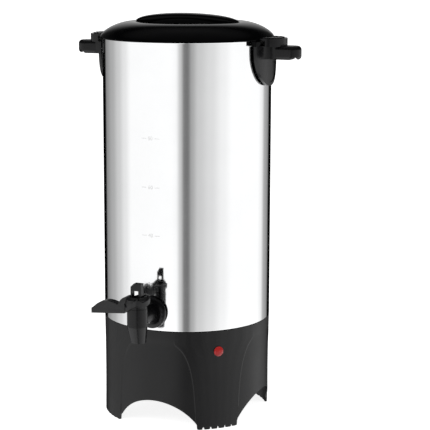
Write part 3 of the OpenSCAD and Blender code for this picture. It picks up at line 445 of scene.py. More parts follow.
def group_dust():
    """Faint dust on faces that look up, together with a painted sheen of light on them. Up is the surface
    normal.
    """
    tree, start, end = new_group(
        "dust", [("Up", "NodeSocketVector", None), ("Vector", "NodeSocketVector", None)],
        [("Mask", "NodeSocketFloat")]
    )
    parts = add(tree, "ShaderNodeSeparateXYZ")
    tree.links.new(start.outputs["Up"], parts.inputs[0])
    # painted sheen: the more a face looks up, the lighter it is made, as light from above would show it
    level = ramp(tree, parts.outputs["Z"], [(0.6, 0), (1, 1)])
    specks = ramp(tree, noise(tree, start.outputs["Vector"], 900, 6, 0.75), [(0.5, 0), (0.75, 1)])
    tree.links.new(maths(tree, "MULTIPLY", level, specks), end.inputs["Mask"])
    return tree


GROUPS = {
    "moulded grain": group_moulded_grain, "brushed lines": group_brushed_lines, "smudges": group_smudges,
    "edge wear": group_edge_wear, "dust": group_dust,
}


def use_group(tree, name, **values):
    """Place a shared group; values are its inputs, by name."""
    if name not in bpy.data.node_groups:
        GROUPS[name]()
    node = add(tree, "ShaderNodeGroup", node_tree=bpy.data.node_groups[name])
    for label, value in values.items():
        feed(tree, value, node.inputs[label])
    return node


# ---------- materials ----------


class Surface:
    """A new material with its shader, object coordinates and the links between them."""

    def __init__(self, name, base, roughness, metallic=0.0):
        self.material = bpy.data.materials.new(name)
        self.material.use_nodes = True
        self.material.diffuse_color = base
        self.tree = self.material.node_tree
        self.shader = self.tree.nodes["Principled BSDF"]
        self.coordinates = add(self.tree, "ShaderNodeTexCoord").outputs["Object"]
        self.set({"Base Color": base, "Roughness": roughness, "Metallic": metallic})

    def set(self, values):
        """Plain values of the shader's own inputs, by name."""
        for name, value in values.items():
            self.shader.inputs[name].default_value = value

    def group(self, name, **values):
        """Outputs of a shared group, laid out over the piece."""
        return use_group(self.tree, name, Vector=self.coordinates, **values).outputs

    def paint(self, result):
        """Base Color from another node's output."""
        self.tree.links.new(result, self.shader.inputs["Base Color"])
        return result

    def tint(self, mask, low, high, strength=1.0):
        """Base Color from low to high by a mask."""
        share = maths(self.tree, "MULTIPLY", mask, strength, True)
        return self.paint(mixed(self.tree, "RGBA", share, low, high))

    def roughen(self, mask, low, high):
        """Roughness from low to high by a mask."""
        spread = add(self.tree, "ShaderNodeMapRange")
        spread.inputs["To Min"].default_value = low
        spread.inputs["To Max"].default_value = high
        self.tree.links.new(mask, spread.inputs["Value"])
        self.tree.links.new(spread.outputs["Result"], self.shader.inputs["Roughness"])

    def bump(self, height, strength, distance):
        node = add(self.tree, "ShaderNodeBump")
        node.inputs["Strength"].default_value = strength
        node.inputs["Distance"].default_value = distance
        self.tree.links.new(height, node.inputs["Height"])
        self.tree.links.new(node.outputs["Normal"], self.shader.inputs["Normal"])

    def edge(self, amount):
        """Mask of the worn edges, which also carry a painted highlight."""
        pointiness = add(self.tree, "ShaderNodeNewGeometry").outputs["Pointiness"]
        return self.group("edge wear", Edge=pointiness, Amount=amount)["Mask"]

    def dust(self):
        """Mask of the dust and the painted sheen on what looks up."""
        up = add(self.tree, "ShaderNodeTexCoord").outputs["Normal"]
        return self.group("dust", Up=up)["Mask"]


def lighter(base, factor, lift=0.0):
    return tuple(min(1, channel * factor + lift) for channel in base[:3]) + (1,)


def polished_steel(colours):
    surface = Surface("polished steel", colours.steel, 0.07, 1.0)
    lines = surface.group("brushed lines", Lines=(3, 3, 700))
    smudges = surface.group("smudges", Scale=11)["Mask"]
    surface.tint(smudges, colours.steel, lighter(colours.steel, 0.965), 0.8)
    worked = maths(surface.tree, "MULTIPLY", lines["Streaks"], 0.35)
    surface.roughen(maths(surface.tree, "ADD", smudges, worked), 0.055, 0.11)
    surface.bump(lines["Height"], 0.03, 0.02 * MM)
    return surface.material


def satin_steel(colours):
    surface = Surface("satin steel", (0.72, 0.725, 0.73, 1), 0.3, 1.0)
    lines = surface.group("brushed lines", Lines=(9, 9, 1100))
    surface.tint(lines["Streaks"], (0.74, 0.745, 0.75, 1), (0.62, 0.625, 0.63, 1), 0.7)
    surface.roughen(lines["Height"], 0.18, 0.42)
    surface.bump(lines["Height"], 0.12, 0.05 * MM)
    return surface.material


def zinc_steel(colours):
    surface = Surface("zinc steel", (0.58, 0.59, 0.61, 1), 0.35, 1.0)
    patches = surface.group("moulded grain", Scale=1500)
    surface.tint(patches["Speckle"], (0.60, 0.61, 0.63, 1), (0.48, 0.49, 0.50, 1))
    surface.roughen(patches["Speckle"], 0.26, 0.45)
    surface.bump(patches["Height"], 0.1, 0.05 * MM)
    return surface.material


def moulded_plastic(name, base, roughness, gloss_spread, specular, grain, relief, wear):
    """Grained plastic with rubbed edges that also carry a painted highlight, faint dust with a painted sheen
    on what looks up, and uneven gloss.
    """
    surface = Surface(name, base, roughness)
    surface.set({"Specular IOR Level": specular})
    texture = surface.group("moulded grain", Scale=grain)
    plain = surface.tint(texture["Speckle"], base, lighter(base, 1.25))
    # edge wear and painted highlight: outer edges are made lighter
    rubbed_and_highlit = mixed(surface.tree, "RGBA", surface.edge(wear), plain, lighter(base, 2.2, 0.004))
    # dust and painted sheen: faces that look up are lightened
    surface.paint(mixed(surface.tree, "RGBA", surface.dust(), rubbed_and_highlit, lighter(base, 1.0, 0.008)))
    smudges = surface.group("smudges", Scale=18)["Mask"]
    surface.roughen(smudges, roughness - gloss_spread, roughness + gloss_spread)
    surface.bump(texture["Height"], relief, 0.1 * MM)
    return surface.material


def base_plastic(colours):
    return moulded_plastic(
        "base plastic", colours.base_plastic, roughness=0.36, gloss_spread=0.04, specular=0.28,
        grain=900, relief=0.12, wear=0.4
    )


def lid_plastic(colours):
    return moulded_plastic(
        "lid plastic", colours.lid_plastic, roughness=0.08, gloss_spread=0.02, specular=0.05,
        grain=700, relief=0.02, wear=0.1
    )


def handle_plastic(colours):
    return moulded_plastic(
        "handle plastic", colours.handle_plastic, roughness=0.24, gloss_spread=0.04, specular=0.25,
        grain=1100, relief=0.08, wear=0.6
    )


# A lighter copy of the handle plastic with stronger edge wear: painted highlights on the lever's collar band
def lever_plastic(colours):
    return moulded_plastic(
        "lever plastic", colours.lever_plastic, roughness=0.34, gloss_spread=0.04, specular=0.32,
        grain=1100, relief=0.08, wear=0.9
    )


def silicone(colours):
    surface = Surface("silicone", (0.80, 0.79, 0.75, 1), 0.55)
    surface.set({"Subsurface Weight": 0.15, "Subsurface Scale": 2 * MM})
    clouds = surface.group("smudges", Scale=60)["Mask"]
    surface.tint(clouds, (0.82, 0.81, 0.77, 1), (0.70, 0.69, 0.64, 1))
    surface.roughen(clouds, 0.45, 0.65)
    surface.bump(clouds, 0.1, 0.1 * MM)
    return surface.material


def ceramic(colours):
    surface = Surface("ceramic", (0.78, 0.75, 0.67, 1), 0.6)
    body = surface.group("moulded grain", Scale=2200)
    surface.tint(body["Speckle"], (0.80, 0.77, 0.69, 1), (0.66, 0.62, 0.53, 1))
    surface.roughen(body["Speckle"], 0.5, 0.75)
    surface.bump(body["Height"], 0.2, 0.1 * MM)
    return surface.material


def wire(colours):
    surface = Surface("wire", (0.42, 0.13, 0.07, 1), 0.45)
    sleeve = surface.group("brushed lines", Lines=(900, 900, 900))
    surface.tint(sleeve["Streaks"], (0.45, 0.14, 0.08, 1), (0.32, 0.09, 0.05, 1))
    surface.roughen(sleeve["Streaks"], 0.4, 0.6)
    surface.bump(sleeve["Height"], 0.15, 0.1 * MM)
    return surface.material


def lens(colours):
    surface = Surface("lens", colours.lens, 0.2)
    surface.set({"Subsurface Weight": 0.3, "Subsurface Scale": 3 * MM})
    surface.set({"Coat Weight": 0.1, "Specular IOR Level": 0.2})
    depth = surface.group("smudges", Scale=260)["Mask"]
    surface.tint(depth, colours.lens, lighter(colours.lens, 0.75))
    surface.roughen(depth, 0.16, 0.24)
    return surface.material


def lamp_glass(colours):
    surface = Surface("lamp glass", (0.95, 0.70, 0.50, 1), 0.05)
    surface.set({"Transmission Weight": 0.8})
    surface.roughen(surface.group("smudges", Scale=300)["Mask"], 0.03, 0.2)
    return surface.material


def printed(name, base):
    surface = Surface(name, base, 0.5)
    print_wear = surface.group("smudges", Scale=420)["Mask"]
    surface.tint(print_wear, base, lighter(base, 1.25))
    surface.roughen(print_wear, 0.4, 0.6)
    return surface.material


def ink(colours):
    return printed("ink", colours.ink)


def dark_ink(colours):
    return printed("dark ink", colours.dark_ink)


FINISHES = {
    "polished steel": polished_steel, "satin steel": satin_steel, "zinc steel": zinc_steel,
    "base plastic": base_plastic, "lid plastic": lid_plastic, "handle plastic": handle_plastic,
    "lever plastic": lever_plastic, "silicone": silicone, "ceramic": ceramic, "wire": wire,
    "lens": lens, "lamp glass": lamp_glass, "ink": ink, "dark ink": dark_ink,
}


def material(name):
    """The material of a finish, made on first use."""
    found = bpy.data.materials.get(name)
    return found or FINISHES[name](bpy.context.scene.urn_finish)


# ---------- tank ----------

class URN_OT_tank(Operator):
    """Build the polished tank with its rolled rim, floor, heating well and studs"""
    bl_idname = "urn.tank"
    bl_label = "Tank"

    def execute(self, context):
        tank = context.scene.urn_tank
        well_low = tank.foot - tank.well_depth
        bm = revolve(self.profile(tank, well_low))
        self.studs(bm, tank, well_low)
        finish_piece("tank_polished", bm, "polished steel", "root", ["tank"])
        return {"FINISHED"}

    def profile(self, tank, well_low):
        """Half section: from under the well, up the wall, round the bead and down to the well's inside."""
        inner = tank.radius - tank.wall
        floor = tank.foot + tank.wall
        corner = 0.6 * MM
        bead_centre = tank.radius - 0.5 * MM
        bead_start, bead_sweep, bead_steps = -70, 320, 12
        profile = [(0, well_low), (tank.well_radius - corner, well_low)]
        profile += [(tank.well_radius, well_low + corner), (tank.well_radius, tank.foot)]
        profile += [(tank.radius - corner, tank.foot)]
        profile += [(tank.radius - 0.2 * corner, tank.foot + 0.2 * corner), (tank.radius, tank.foot + corner)]
        for step in range(bead_steps + 1):
            turn = math.radians(bead_start + bead_sweep * step / bead_steps)
            profile.append((bead_centre + tank.bead * math.cos(turn), tank.rim + tank.bead * math.sin(turn)))
        profile += [(inner, floor + corner), (inner - corner, floor)]
        profile += [(tank.well_radius - tank.wall, floor)]
        profile += [(tank.well_radius - tank.wall, well_low + tank.wall), (0, well_low + tank.wall)]
        return profile

    def studs(self, bm, tank, well_low):
        """Four studs that hold the base, and one under the well for the heater."""
        # reach from the axis, angle, radius, lower and upper end
        studs = [(102 * MM, angle, 2 * MM, tank.foot - 11 * MM, tank.foot) for angle in (0, 90, 180, 270)]
        studs.append((0, 0, 3 * MM, well_low - 32 * MM, well_low))
        for reach, angle, radius, low, high in studs:
            stud = bmesh.new()
            bmesh.ops.create_cone(
                stud, cap_ends=True, segments=32, radius1=radius, radius2=radius, depth=high - low
            )
            soften(stud, 0.3 * MM)
            merge(bm, place(stud, set_out(angle, reach, (low + high) / 2)))


# cups, height in millimetres and finish of each level mark
MARKS = [(100, 458, "ink"), (80, 395, "ink"), (60, 330, "ink"), (40, 265.5, "ink"), (20, 199, "dark ink")]
PRINT_HEIGHT = 0.04 * MM


def bend_on_wall(bm, radius, height, turn):
    """Wrap a flat mesh in the XY plane round the tank's front, with Y upwards."""
    step = 1 * MM
    reach = max(abs(vert.co.x) for vert in bm.verts)
    for index in range(-int(reach / step), int(reach / step) + 1):
        score(bm, (index * step, 0, 0), (1, 0, 0))
    for vert in bm.verts:
        angle = turn + vert.co.x / radius
        out = radius + vert.co.z
        vert.co = (out * math.sin(angle), -out * math.cos(angle), height + vert.co.y)


class URN_OT_level_marks(Operator):
    """Print the level marks, plain numbers between two short lines, on the front of the tank"""
    bl_idname = "urn.level_marks"
    bl_label = "Level marks"

    def execute(self, context):
        tank = context.scene.urn_tank
        stand_off = 0.01 * MM
        for cups, height, finish in MARKS:
            bm = self.number(context, str(cups), tank.mark_size)
            for side in (-1, 1):
                merge(bm, self.line(side, tank.mark_width))
            bend_on_wall(bm, tank.radius + stand_off, height * MM, tank.mark_turn)
            finish_piece(f"level_mark_{cups}", bm, finish, "root")
        return {"FINISHED"}

    def number(self, context, words, size):
        """Flat raised text, centred on the origin."""
        text = bpy.data.curves.new("mark text", "FONT")
        text.body = words
        text.size = size
        text.align_x = "CENTER"
        text.align_y = "CENTER"
        text.extrude = PRINT_HEIGHT / 2
        holder = new_object("mark text", text)
        mesh = bpy.data.meshes.new_from_object(
            holder.evaluated_get(context.evaluated_depsgraph_get())
        )
        bpy.data.objects.remove(holder)
        bpy.data.curves.remove(text)
        bm = bmesh.new()
        bm.from_mesh(mesh)
        bpy.data.meshes.remove(mesh)
        bmesh.ops.remove_doubles(bm, verts=bm.verts, dist=MERGE)
        return bm

    def line(self, side, mark_width):
        """A short line at one end of a mark."""
        line_length, line_width = 7 * MM, 0.7 * MM
        line = bmesh.new()
        bmesh.ops.create_cube(line, size=1)
        bmesh.ops.scale(line, vec=(line_length, line_width, PRINT_HEIGHT), verts=line.verts)
        return place(line, Matrix.Translation((side * (mark_width - line_length) / 2, 0, 0)))


# ---------- base ----------

FEET = 4
HALF_FOLD = 180 / FEET      # degrees from an arch's middle to a foot's middle
OUTER_ROWS = 44             # rows of faces up the outside
INNER_ROWS = 20             # rows of faces down the inside
TOP_EDGE = 0.8 * MM         # rounding of the base's top edge
FOOT_EDGE = 0.6 * MM        # rounding of the edges round the feet and arches
FLANGE_THICKNESS = 4 * MM
POST_ANGLES = (22, 114, 202, 292)
RIDGE_HEAD = 0.86           # where a panel's ridge ends, as a share of the base's height


def waist_radius(base, height):
    return base.radius - base.waist * math.sin(math.pi * min(1, max(0, height / BASE_HIGH.z)))


class PanelRidge:
    """The line between an arch panel and the foot beside it, as an angle from the arch's middle by height."""

    def __init__(self, base):
        high = BASE_HIGH.z
        self.head = RIDGE_HEAD * high
        curve = profile_curve(
            (base.panel_foot, -1 * MM), (base.panel_foot - 3 * MM, 0.3 * high),
            (base.panel_foot - 0.5 * MM, 0.75 * high), (base.panel_head, self.head), 40
        )
        self.points = [(height, math.degrees(math.asin(side / base.radius))) for side, height in curve]

    def angle(self, height):
        for (low, first), (high, second) in zip(self.points, self.points[1:]):
            if height <= high:
                return first + (second - first) * max(0, height - low) / (high - low)
        return self.points[-1][1]


def arch_edge(base):
    """Edge of half an arch, from its middle to the rounded corner of a foot, as angles and heights."""
    sink = base.arch_radius - base.arch_rise
    end = math.asin(base.arch_half / base.arch_radius)
    steps = 24
    shares = [step / steps for step in range(steps)] + [0.975, 0.985, 0.993, 1]
    edge = [
        (base.arch_radius * math.sin(end * share), base.arch_radius * math.cos(end * share) - sink)
        for share in shares
    ]
    corner = 1.5 * MM
    draft = 0.15 * MM
    edge.append((base.arch_half + draft, corner))
    for turn in (30, 60, 90):
        out = 1 - math.cos(math.radians(turn))
        down = 1 - math.sin(math.radians(turn))
        edge.append((base.arch_half + draft + corner * out, corner * down))
    return [(math.degrees(math.asin(side / base.radius)), height) for side, height in edge]


def notch_edge(base, middle):
    """Edge of one round-topped notch, from its near side to its far side."""
    half = math.degrees(base.notch_width / 2 / base.radius)
    head = 0.9 * half
    corner_width, corner_height = 0.3, 0.4 * MM
    side = base.notch_height - base.notch_width / 2
    edge = [(middle - half * (1 + corner_width), 0), (middle - half, corner_height), (middle - head, side)]
    for turn in range(30, 180, 30):
        lift = base.notch_width / 2 * math.sin(math.radians(turn))
        edge.append((middle - head * math.cos(math.radians(turn)), side + lift))
    return edge + [(2 * middle - angle, low) for angle, low in reversed(edge[:3])]


def foot_outline(base):
    """Lower edge of the whole base, as angles in degrees and heights."""
    step = math.degrees(base.notch_step)
    half = arch_edge(base)
    foot = [point for index in range(-2, 3) for point in notch_edge(base, HALF_FOLD + step * index)]
    fold = half + foot + [(2 * HALF_FOLD - angle, low) for angle, low in reversed(half[1:])]
    return [(angle + 2 * HALF_FOLD * turn, low) for turn in range(FEET) for angle, low in fold]


class URN_OT_base(Operator):
    """Build the arched base shell with its notched feet, soft arch panels and screw posts"""
    bl_idname = "urn.base"
    bl_label = "Base"

    def execute(self, context):
        base = context.scene.urn_base
        self.base = base
        self.ridge = PanelRidge(base)
        edge_lift, wall_lift = 0.25 * MM, 0.7 * MM
        bm = bmesh.new()
        foot_edges = self.foot_edges(bm)
        edges = self.raise_row(bm, foot_edges, -0.25 * FOOT_EDGE, 0, edge_lift)
        for step in range(OUTER_ROWS + 1):
            edges = self.raise_row(bm, edges, 0, step / OUTER_ROWS, wall_lift)
        rounding = [(0.05 * MM, 0.6 * TOP_EDGE), (0.3 * MM, 0.2 * TOP_EDGE), (TOP_EDGE, 0)]
        for inset, drop in (*rounding, (base.flange, 0)):
            edges = self.raise_row(bm, edges, -inset, 1, over=TOP_EDGE - drop)
        under = TOP_EDGE - FLANGE_THICKNESS
        edges = self.raise_row(bm, edges, -base.flange, 1, over=under)
        for step in range(INNER_ROWS, -1, -1):
            edges = self.raise_row(bm, edges, -base.wall, step / INNER_ROWS, edge_lift, under)
        edges = self.raise_row(bm, edges, FOOT_EDGE - base.wall, 0)
        bmesh.ops.bridge_loops(bm, edges=foot_edges + edges)
        bmesh.ops.recalc_face_normals(bm, faces=bm.faces)
        self.open_inlet_window(bm)
        finish_piece("base_moulding", bm, "base plastic", "root", ["base_shell"], angle=45)
        self.posts()
        return {"FINISHED"}

    def foot_edges(self, bm):
        """The base's lower outline; each vertex keeps the angle and height of its foot point."""
        self.angle = bm.verts.layers.float.new("angle")
        self.low = bm.verts.layers.float.new("low")
        first = []
        for angle, low in foot_outline(self.base):
            vert = bm.verts.new()
            vert[self.angle] = angle
            vert[self.low] = low
            first.append(vert)
        self.set_row(first, -FOOT_EDGE, 0)
        return [bm.edges.new(pair) for pair in zip(first, first[1:] + first[:1])]

    def raise_row(self, bm, edges, out, share, lift=0, over=0):
        """Extrude the rim of the wall by one row and set it on the base's surface."""
        raised = bmesh.ops.extrude_edge_only(bm, edges=edges)["geom"]
        self.set_row(only(BMVert, raised), out, share, lift, over)
        return only(BMEdge, raised)

    def set_row(self, verts, out, share, lift=0, over=0):
        """Set each vertex over its foot point, at a share of the way to the top."""
        top = BASE_HIGH.z - TOP_EDGE + over
        for vert in verts:
            low = vert[self.low]
            height = (low + lift) * (1 - share) + top * share
            angle = self.lean(vert[self.angle], low, height)
            turn = math.radians(angle)
            radius = waist_radius(self.base, height) - self.panel_dip(angle, height) + out
            vert.co = (radius * math.cos(turn), radius * math.sin(turn), height)

    def from_arch(self, angle):
        """Degrees from the middle of the nearest arch."""
        fold = angle % (2 * HALF_FOLD)
        return min(fold, 2 * HALF_FOLD - fold)

    def lean(self, angle, low, height):
        """Columns lean with the ridge, so that one always runs along it."""
        start = self.from_arch(angle)
        ridge_low = self.ridge.angle(low)
        ridge = self.ridge.angle(height)
        if start <= ridge_low:
            moved = start * ridge / ridge_low
        else:
            moved = HALF_FOLD - (HALF_FOLD - start) * (HALF_FOLD - ridge) / (HALF_FOLD - ridge_low)
        side = 1 if angle % (2 * HALF_FOLD) <= HALF_FOLD else -1
        return angle + (moved - start) * side

    def panel_dip(self, angle, height):
        """Depth of an arch panel: a small step inside the ridge that fades towards the panel's head."""
        step_width, head_fade, thinning = 0.6 * MM, 8 * MM, 0.8
        inside = math.radians(self.ridge.angle(height) - self.from_arch(angle)) * self.base.radius
        step = min(1, max(0, inside / step_width))
        step = step * step * (3 - 2 * step)
        fade = 1 - thinning * height / BASE_HIGH.z
        if height > self.ridge.head:
            fade *= max(0, 1 - (height - self.ridge.head) / head_fade)
        return self.base.panel_depth * fade * step

    def open_inlet_window(self, bm):
        """Cut the window behind the mains inlet's flange out of the rear wall."""
        gap = 0.3 * MM
        rear_half = 40 * MM
        low = INLET_LOW - Vector((gap, 0, gap))
        high = INLET_HIGH + Vector((gap, 0, gap))

        def rear(centre):
            return centre.y > 0.8 * self.base.radius and abs(centre.x) < rear_half

        for corner in (low, high):
            for normal in ((1, 0, 0), (0, 0, 1)):
                faces = [face for face in bm.faces if rear(face.calc_center_median())]
                borders = {item for face in faces for item in (*face.edges, *face.verts)}
                score(bm, corner, normal, faces + list(borders))
        window = []
        for face in bm.faces:
            centre = face.calc_center_median()
            if rear(centre) and low.x < centre.x < high.x and low.z < centre.z < high.z:
                window.append(face)
        bmesh.ops.delete(bm, geom=window, context="FACES")
        bmesh.ops.bridge_loops(bm, edges=[edge for edge in bm.edges if edge.is_boundary])
        bmesh.ops.recalc_face_normals(bm, faces=bm.faces)

    def posts(self):
        """Screw posts that carry the bottom cover."""
        base = self.base
        bore = 1.65 * MM
        inset = 4.8 * MM
        reach = base.radius - base.waist - base.wall - inset
        low, high = COVER_TOP, BASE_HIGH.z - FLANGE_THICKNESS
        bm = bmesh.new()
        for angle in POST_ANGLES:
            section = [(bore, low), (base.post, low), (base.post, high), (bore, high)]
            post = revolve(section, 48, closed=True)
            soften(post, 0.4 * MM)
            merge(bm, place(post, set_out(angle, reach)))
        finish_piece("base_screw_posts", bm, "base plastic", "root")


# ---------- lid ----------

VENT_ANGLES = (60, 90, 120)
LUG_ANGLES = (-18, 162)


class URN_OT_lid(Operator):
    """Build the lid: domed shoulder, sunken middle with steam vents, crowned bridge handle and lugs"""
    bl_idname = "urn.lid"
    bl_label = "Lid"

    def execute(self, context):
        lid = context.scene.urn_lid
        bm = merge(self.shell(lid), self.bridge(lid), *(self.lug(lid, angle) for angle in LUG_ANGLES))
        bmesh.ops.translate(bm, verts=bm.verts, vec=(0, 0, SKIRT_LOW))
        finish_piece("lid_moulding", bm, "lid plastic", "lid", ["lid_shell"])
        return {"FINISHED"}

    def profile(self, lid):
        """Outer half section: up the skirt, over the shoulder and the crest, down to the sunken floor."""
        top = lid.crest_height
        crest_flat = 5 * MM
        crest_in = lid.crest_radius - crest_flat
        shoulder = lid.radius - lid.crest_radius
        slope = 0.42 * (crest_in - lid.bowl_radius)
        edge = 0.5 * MM
        profile = [(lid.radius - edge, 0), (lid.radius - 0.3 * edge, 0.25 * edge), (lid.radius, edge)]
        profile += profile_curve(
            (lid.radius, 1.5 * MM), (lid.radius - 2 * MM, 8.5 * MM),
            (lid.crest_radius + 0.52 * shoulder, top - 1.1 * MM), (lid.crest_radius, top), 32
        )
        profile += profile_curve(
            (crest_in, top), (crest_in - slope, top - 0.6 * MM),
            (lid.bowl_radius + slope, lid.bowl_height + 1 * MM), (lid.bowl_radius, lid.bowl_height), 28
        )
        return profile

    def shell(self, lid):
        """The lid's sheet with holes for steam in its floor."""
        vent_radius, vent_inset = 2 * MM, 12 * MM
        shell = revolve(self.profile(lid))
        rims = [edge for edge in shell.edges if edge.is_boundary]
        floor_rim = [edge for edge in rims if edge.verts[0].co.z > 0.5 * lid.bowl_height]
        for angle in VENT_ANGLES:
            spot = set_out(angle, lid.bowl_radius - vent_inset, lid.bowl_height)
            bmesh.ops.create_circle(shell, segments=24, radius=vent_radius, matrix=spot)
        vent_rims = [edge for edge in shell.edges if edge.is_wire]
        bmesh.ops.triangle_fill(shell, edges=floor_rim + vent_rims, use_beauty=True, normal=(0, 0, 1))
        bmesh.ops.recalc_face_normals(shell, faces=shell.faces)
        bmesh.ops.solidify(shell, geom=shell.faces[:], thickness=lid.shell)
        bmesh.ops.recalc_face_normals(shell, faces=shell.faces)
        return shell

    def bridge(self, lid):
        """A half-ellipse between the crests over a flatter underside, crowned across its width."""
        span = lid.crest_radius - 0.5 * MM
        foot = lid.crest_height - 0.6 * MM
        rise = lid.bridge_height - foot
        arc = (span * span + rise * rise) / (2 * rise)
        centre = lid.bridge_height - arc
        end_low = lid.crest_height - lid.shell + 0.5 * MM
        half = lid.bridge_width / 2
        edge = 1.8 * MM             # rounding of the long upper edges
        lower_share = 0.6           # rounding of the long lower edges, as a share of that
        most_fall = 0.8             # the most that the long edges fall, as a share of the thickness
        narrowing = 0.6             # share of the width that is gone at the ends
        steps = 64

        def over(x):
            return foot + rise * math.sqrt(max(0, 1 - (x / span) ** 2))

        def under(x):
            return max(end_low, centre + math.sqrt((arc - lid.bridge_thickness) ** 2 - x * x))

        bar = bmesh.new()
        ridge = [bar.verts.new((-span * math.cos(math.pi * step / steps), 0, 0)) for step in range(steps + 1)]
        lines = [bar.edges.new(pair) for pair in zip(ridge, ridge[1:])]
        lower = bmesh.ops.extrude_edge_only(bar, edges=lines)["geom"]
        for vert in ridge:
            vert.co.y = over(vert.co.x)
        for vert in only(BMVert, lower):
            vert.co.y = under(vert.co.x)
        across = bmesh.ops.extrude_face_region(bar, geom=bar.faces[:])["geom"]
        bmesh.ops.translate(bar, verts=only(BMVert, across), vec=(0, 0, lid.bridge_width))
        bmesh.ops.translate(bar, verts=bar.verts, vec=(0, 0, -half))
        for share in (0.15, 0.5, 0.75, 0.87, 0.93, 0.97, 0.99):
            for side in (-1, 1):
                score(bar, (0, 0, share * side * half), (0, 0, 1))
        for vert in bar.verts:
            low, high = under(vert.co.x), over(vert.co.x)
            share = (vert.co.y - low) / (high - low)
            beyond = max(0, abs(vert.co.z) - half + edge) / edge
            rounded = edge * (1 - math.sqrt(max(0, 1 - beyond * beyond)))
            fall = min(rounded + lid.bridge_crown * (vert.co.z / half) ** 2, most_fall * (high - low))
            vert.co.y += lower_share * rounded * (1 - share) - fall * share
            vert.co.z *= 1 - narrowing * abs(vert.co.x / span) ** 4
        bmesh.ops.recalc_face_normals(bar, faces=bar.faces)
        return place(bar, turned(90, "X"))

    def lug(self, lid, angle):
        """A tab under the skirt that turns into a catch."""
        inner = lid.radius - 1.75 * MM
        outer = lid.radius + 6 * MM
        width = 10 * MM
        root = 0.4 * MM
        low, high = -LUG_DROP, -0.5 * MM
        tab = prism([(inner, low), (outer, low), (outer, high), (lid.radius, root), (inner, root)], width)
        soften(tab, 0.6 * MM, 3)
        return place(tab, turned(angle) @ Matrix.Translation((0, width / 2, 0)) @ turned(90, "X"))


# ---------- handles, catches and tap ----------

class URN_OT_handles(Operator):
    """Round the edges of both side handles and lid catches"""
    bl_idname = "urn.handles"
    bl_label = "Handles and catches"

    def execute(self, context):
        for side in ("right", "left"):
            for node, rounding, segments in ((f"handle_{side}", 1.2, 3), (f"lid_catch_{side}", 0.5, 2)):
                refine(node, f"{node}_moulding", "handle plastic", rounding, segments)
        return {"FINISHED"}


# finish of each piece of the tap, its rounding in millimetres and the angle from which edges are rounded
TAP = {
    "tap_body": ("handle plastic", 0.6, 12),
    "tap_flange": ("handle plastic", 0.4, SHARP),
    "tap_lever": ("lever plastic", 0.5, SHARP),
    "tap_stem": ("handle plastic", 0.6, SHARP),
}


class URN_OT_tap(Operator):
    """Round the edges of the tap's body, flange, lever and stem"""
    bl_idname = "urn.tap"
    bl_label = "Tap"

    def execute(self, context):
        for node, (finish, rounding, angle) in TAP.items():
            refine(node, f"{node}_moulding", finish, rounding, angle=angle)
        return {"FINISHED"}


# ---------- small and inner pieces ----------

# finish of each piece and its rounding in millimetres
INNER = {
    "bottom_cover": ("base plastic", 0.3),
    "cover_screws": ("zinc steel", 0.25),
    "tank_nuts": ("zinc steel", 0.3),
    "catch_screws": ("zinc steel", 0.25),
    "handle_screws": ("satin steel", 0.3),
    "handle_washers": ("satin steel", 0.2),
    "lid_seal": ("silicone", 0.3),
    "tap_washer_outer": ("silicone", 0.3),
    "tap_washer_inner": ("silicone", 0.3),
    "tap_nut": ("handle plastic", 0.4),
    "tap_bonnet": ("handle plastic", 0.2),
    "seat_cup": ("silicone", 0.3),
    "tap_spring": ("zinc steel", 0),
    "pump_tube": ("satin steel", 0.2),
    "pump_base": ("satin steel", 0.2),
    "pump_valve": ("satin steel", 0.2),
    "brew_basket": ("satin steel", 0.15),
    "basket_lid": ("satin steel", 0.15),
    "heating_element": ("zinc steel", 0),
    "element_clamp": ("zinc steel", 0.3),
    "stud_nuts": ("zinc steel", 0.3),
    "heat_shield": ("satin steel", 0.2),
    "keep_warm_element": ("zinc steel", 0),
    "keep_warm_clips": ("zinc steel", 0.2),
    "thermostat": ("ceramic", 0.3),
    "thermal_cutout": ("ceramic", 0.3),
    "sensor_brackets": ("zinc steel", 0.2),
    "terminal_block": ("ceramic", 0.3),
    "wiring": ("wire", 0),
    "power_inlet": ("handle plastic", 0.4),
    "inlet_pins": ("zinc steel", 0.2),
    "inlet_screws": ("zinc steel", 0.25),
    "indicator_lens": ("lens", 0.2),
    "indicator_lamp": ("lamp glass", 0.2),
    "lamp_retainer": ("zinc steel", 0.2),
}


class URN_OT_inner_pieces(Operator):
    """Round the edges of the screws, seals, percolator, heaters and electrics, and give each its finish"""
    bl_idname = "urn.inner_pieces"
    bl_label = "Screws, percolator and electrics"

    def execute(self, context):
        for node, (finish, rounding) in INNER.items():
            refine(node, f"{node}_finished", finish, rounding)
        self.press_spring(bpy.data.objects["tap_spring_finished"])
        return {"FINISHED"}

    def press_spring(self, spring):
        """Give the valve's spring a mesh of its own; it is not shortened."""
        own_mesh(spring)


# ---------- stage ----------

# camera: place in metres, degrees that it looks down, lens in millimetres, shift in picture widths
CAMERA_PLACE = (0.83977, -1.93133, 0.664)
CAMERA_DOWN = 10.49
CAMERA_LENS = 129.1
CAMERA_SHIFT = 0.0649
# lights: degrees round from the camera, then height, distance and size in metres
LIGHTS = {"key": (-48, 1.9, 2.2, 1.4), "fill": (60, 1.2, 2.2, 1.2)}
LIGHTS_AIM = Vector((0, 0, 0.3))
FLOOR_REACH = 30        # half of the floor's side in metres
FLOOR_GREY = 0.88
FLOOR_SHOWN = 0.86      # light that the floor adds for the camera alone
